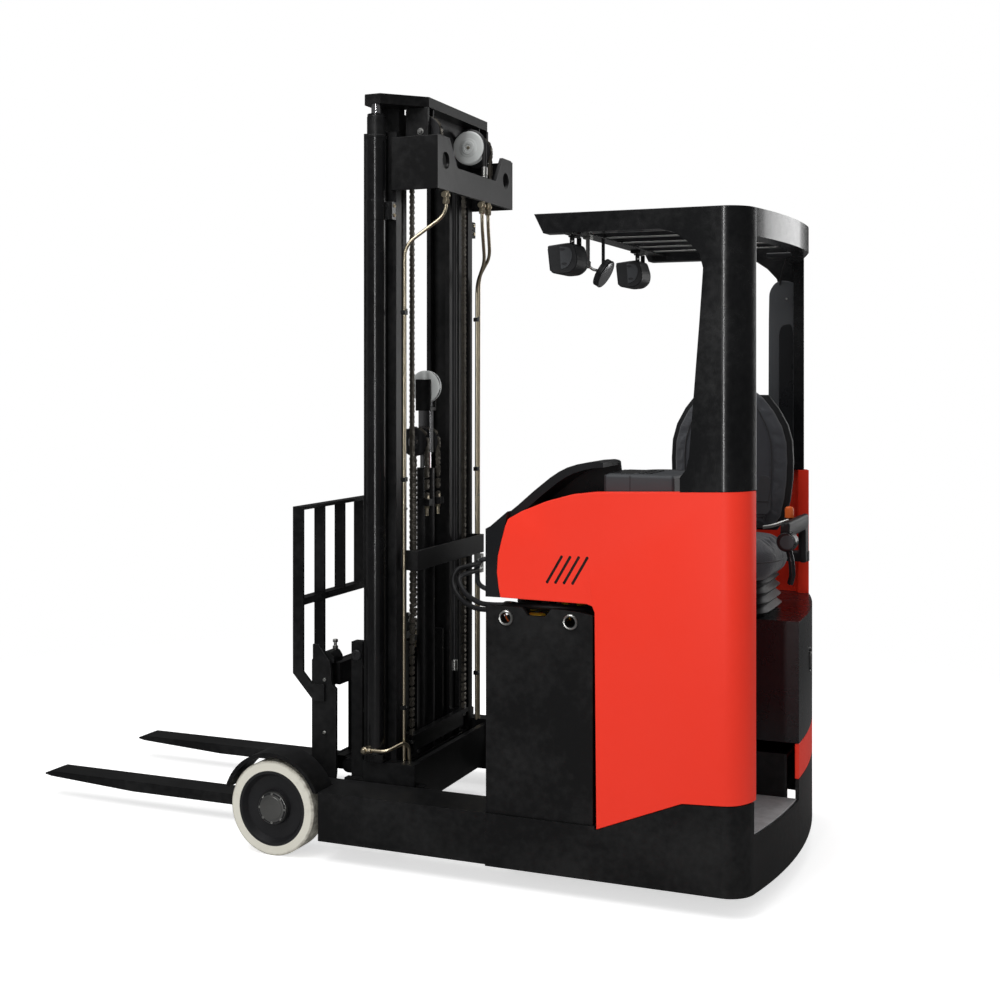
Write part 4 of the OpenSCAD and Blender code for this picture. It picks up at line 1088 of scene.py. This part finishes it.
print("cab trim made")

# Seat box lock, dash display and keys

lock = {"x": -1734, "y": -120, "z": 680}
oval = lambda wide, high: [(lock["y"] + wide * math.cos(2 * math.pi * k / 32), lock["z"] + high * math.sin(2 * math.pi * k / 32))
                           for k in range(32)]
Shape().loft([[(lock["x"] + d, y, z) for y, z in oval(a, b)] for d, a, b in ((8, 27, 44), (-5, 27, 44), (-7, 24, 41), (-5, 21, 38),
                                                                            (-1, 19, 36))]) \
    .piece("lockPlate", "cover", "chassis", None, 0)
Shape().box(-1744, -1734, -126, -114, 652, 700).turned((-1734, -120, 700), "x", [(9, 2), (9, -8), (7, -10), (3, -10)], 20) \
    .piece("lockHandle", "zinc", "chassis", None, 2)
Shape().box(-1300, -1212, 380, 560, 1363, 1366.4).piece("dashScreen", "cover", "chassis", None, 1)
key = itemFrom(Shape().turned((0, 0, 0), "z", [(11, -1), (11, 2), (9, 3.4), (3, 3.6)], 20), "dashKey")
repeatedPiece("dashKeys", [row(key, 5, (-1318 - 26 * k, 400, 1365), (0, 34, 0), outUp) for k in range(2)], "moulded", "chassis")
seam = Shape()
for x in (-1296, -1212):
    seam.box(x - 1.2, x + 1.2, 594.4, 595.6, 1186, 1362)
seam.piece("dashSeams", "clothDark", "chassis")

# Battery: rims in the lifting eyes, cell caps, leads and plug

eyes = Shape()
for sign in (1, -1):
    for x in (-884, -1107):
        y = sign * 627
        profile = [(17, -sign * 8), (17, sign * 4), (18.4, sign * 6.8), (22, sign * 7.6), (24.6, sign * 5.4), (25, sign * 0.6)]
        eyes.turned((x, y, 888), "y", profile, 40, caps=False)
eyes.piece("eyeRims", "zinc", "chassis", None, 0)
cap = itemFrom(Shape().turned((0, 0, 0), "z", [(15, 0), (17, 1), (17, 9), (14, 11), (6, 11.5), (5, 9)], 16), "cellCap")
runs = [row(cap, 6, (-868, -480 + 160 * k, 866), (-58, 0, 0), outUp) for k in range(7)]
repeatedPiece("cellCaps", runs, "yellow", "chassis")
strap = itemFrom(Shape().box(-9, 9, -48, 48, 0, 5), "cellStrap")
runs = [row(strap, 5, (-897 - 0, -400 + 160 * k, 866), (-58, 0, 0), outUp) for k in range(6)]
repeatedPiece("cellStraps", runs, "hub", "chassis")
Shape().tube(rounded([(-838, 300, 872), (-800, 420, 900), (-838, 520, 908), (-960, 540, 918), (-1080, 520, 914), (-1160, 430, 890)],
                     80, 8), 11, 14).piece("batteryLeadA", "rubber", "chassis")
Shape().tube(rounded([(-850, 200, 872), (-830, 380, 912), (-900, 500, 914), (-1000, 505, 906), (-1120, 380, 880)], 80, 8), 11, 14) \
    .piece("batteryLeadB", "rubber", "chassis")
Shape().tube(rounded([(-838, 470, 912), (-848, 560, 905), (-872, 590, 876), (-884, 590, 866)], 24, 6), 2.6, 8) \
    .piece("batteryWire", "orange", "chassis")
Shape().box(-990, -934, 536, 584, 866, 896).box(-984, -940, 584, 592, 870, 892).piece("batteryPlug", "yellow", "chassis", None, 4)
Shape().box(-932, -916, 540, 580, 866, 890).box(-1010, -992, 544, 576, 866, 888).piece("plugCollars", "zinc", "chassis", None, 2)
print("battery made")

# Hoses from the chassis to the mast

loopPaths = {"reachHoseA": [(-900, 240, 880), (-760, 190, 846), (-636, 150, 827), (-556, 120, 823), (-478, 60, 838), (-427, 20, 875),
                            (-412, 0, 913), (-422, -20, 945), (-450, -80, 953), (-452, -170, 950), (-424, -215, 948)],
             "reachHoseB": [(-900, 200, 880), (-760, 170, 856), (-636, 150, 846), (-576, 120, 843), (-494, 60, 862), (-450, 20, 894),
                            (-439, 0, 918), (-446, -60, 926), (-450, -150, 926), (-424, -205, 922)]}
for name, path in loopPaths.items():
    hose = Shape().tube(rounded(path, 40, 6), 9.5, 14).piece(name, "rubber", None)
    tuple(at(-800, 190, 870))
    tuple(at(-440, -100, 940))
    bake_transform(hose)
hoseEnds = Shape()
for y, z in ((-218, 948), (-208, 922)):
    hoseEnds.turned((-424, y - 3, z), "y", [(12, -26), (13, -24), (13, 4), (10.5, 6)], 20)
hoseEnds.box(-430, -399, -262, -236, 905, 978).piece("reachHoseEnds", "zinc", "reach_carriage", None, 1)
hose = Shape().tube(rounded([(-812, -200, 972), (-560, -200, 968), (-452, -200, 964), (-429, -200, 944), (-428, -200, 900),
                             (-432, -200, 866), (-466, -200, 846), (-600, -200, 844), (-812, -200, 848)], 26, 6), 9.5, 16) \
    .piece("railHose", "grey", None)
tuple(at(-808, -200, 920))
tuple(at(-470, -200, 920))
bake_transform(hose)
stubs = Shape()
for z in (972, 848):
    stubs.rod((0, -200, z), "x", 12.4, -812, -800, 18)
stubs.piece("hoseStubs", "rubber", "chassis", None, 1)
print("hoses made")

# Wheels and carriage fittings

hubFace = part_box("hub_left")[1].y * 1000

for side, sign in (("Left", 1), ("Right", -1)):
    body = "load_wheel_" + side.lower()
    face = sign * hubFace
    centre = (0, face, 165)
    flip = [(r, sign * d) for r, d in ((58, -24), (58, -9), (55, -3), (47, 0.4), (41, 0.8), (40, 2.4), (37.5, 3), (4, 3))]
    Shape().turned(centre, "y", flip, 40).piece("hubCap" + side, "bolt", body, None, 0)
    turned = outLeft if sign > 0 else outRight
    repeatedPiece("hubBolts" + side, [ring(smallScrew, 8, 50, (0, face - sign * 1.4, 165), turned)], "zinc", body)
bolts = [row(domeScrew, 2, (-75, 387, 575), (0, 0, -192), outLeft), row(domeScrew, 2, (-75, -387, 575), (0, 0, -192), outRight),
         row(smallScrew, 1, (-80, 387, 232), (0, 0, 1), outLeft), row(smallScrew, 1, (-80, -387, 232), (0, 0, 1), outRight)]
repeatedPiece("sidePlateBolts", bolts, "zinc", "shift_frame")
for side, sign in (("Left", 1), ("Right", -1)):
    y = sign * 318
    Shape().rod((-82, y, 0), "z", 6, 650, 704, 16).turned((-82, y, 0), "z", [(6, 700), (11, 702), (11, 709), (8, 712)], 6) \
        .turned((-82, y, 0), "z", [(6, 677), (11.5, 678), (11.5, 687), (6, 688)], 6) \
        .piece("adjustBolt" + side, "zinc", "shift_frame", None, 0.6)
    ends = sorted((sign * 303, sign * 373))
    Shape().prism(rounded([(-52, 633), (-52, 668), (-68, 676), (-90, 676), (-106, 654), (-106, 633), (-52, 633)], 8, 3)[:-1],
                  "y", *ends).piece("adjustBlock" + side, "frame", "shift_frame", None, 1.5)
    Shape().turned((-182, sign * 340.5, 664), "y", [(r, sign * d) for r, d in ((4, 0), (20, 0), (20, 5), (17, 8), (8, 8), (7, 6))], 28) \
        .piece("postRoller" + side, "hub", "lift_carriage", None, 0)
rows = [row(hexBolt, 3, (-206, sign * 318, 300), (0, 0, 160), outBack) for sign in (1, -1)]
repeatedPiece("carriageBolts", rows, "bolt", "lift_carriage")
print("fittings made")

# Floor and light

studio = {"floorSize": 30, "key": 130, "fill": 48, "top": 75, "strip": 80, "sky": 0.42, "shine": 0.07, "near": 1.6, "far": 4.0, "lift": 0.62}

floorMesh = bpy.data.meshes.new("floor")
half = studio["floorSize"]
floorMesh.from_pydata([(-half, -half, 0), (half, -half, 0), (half, half, 0), (-half, half, 0)], [], [(0, 1, 2, 3)])
floor = bpy.data.objects.new("floor", floorMesh)
bpy.context.scene.collection.objects.link(floor)
f = Finish("floorPale")
seen = f.node("ShaderNodeLightPath", out="Is Camera Ray")
away = f.node("ShaderNodeVectorMath", {"operation": "LENGTH"}, {0: f.place}, "Value")
fade = f.ramp(away, studio["near"], studio["far"])
shone = f.node("ShaderNodeLightPath", out="Is Glossy Ray")
pale = f.node("ShaderNodeBsdfDiffuse", {}, {"Color": f.mix(shone, (0.86, 0.86, 0.86), (0.2, 0.2, 0.2)), "Roughness": 0.0})
lit = f.node("ShaderNodeEmission", {}, {"Color": (1, 1, 1), "Strength": seen * studio["lift"]})
nearby = f.node("ShaderNodeAddShader", {}, {0: pale, 1: lit})
bright = f.node("ShaderNodeEmission", {}, {"Color": (1, 1, 1), "Strength": seen * (1 - studio["sky"]) + studio["sky"]
                                           + shone * (studio["shine"] - studio["sky"])})
both = f.node("ShaderNodeMixShader", {}, {0: fade, 1: nearby, 2: bright})
f.node("ShaderNodeOutputMaterial", {}, {"Surface": both})
floorMesh.materials.append(f.material)

world = bpy.data.worlds.new("studio")
bpy.context.scene.world = world
world.use_nodes = True
w = Graph(world.node_tree)
w.tree.nodes.clear()
seen = w.node("ShaderNodeLightPath", out="Is Camera Ray")
mirror = Value(w, w.last.outputs["Is Glossy Ray"])
strength = seen * (1 - studio["sky"]) + mirror * (studio["shine"] - studio["sky"]) + studio["sky"]
sky = w.node("ShaderNodeBackground", {}, {"Color": (1, 1, 1), "Strength": strength})
w.node("ShaderNodeOutputWorld", {}, {"Surface": sky})


def softLight(name, place, aim, size, power):
    lamp = bpy.data.lights.new(name, "AREA")
    lamp.shape = "RECTANGLE"
    lamp.size, lamp.size_y = size
    lamp.energy = power
    light = bpy.data.objects.new(name, lamp)
    light.location = place
    light.rotation_euler = (Vector(aim) - Vector(place)).to_track_quat("-Z", "Y").to_euler()
    bpy.context.scene.collection.objects.link(light)
    return light


softLight("keyLight", (0.5, 3.4, 5.6), (0, 0, 0.9), (3.0, 3.0), studio["key"])
softLight("rearLight", (-3.4, -4.2, 2.2), (-0.4, 0, 1.1), (2.0, 3.0), studio["fill"])
softLight("topLight", (0.0, -0.4, 5.2), (0, 0, 0.8), (4.0, 3.0), studio["top"])
softLight("stripLight", (-1.3, 7.0, 2.0), (-0.4, 0, 1.6), (0.25, 4.0), studio["strip"])
print("studio set")
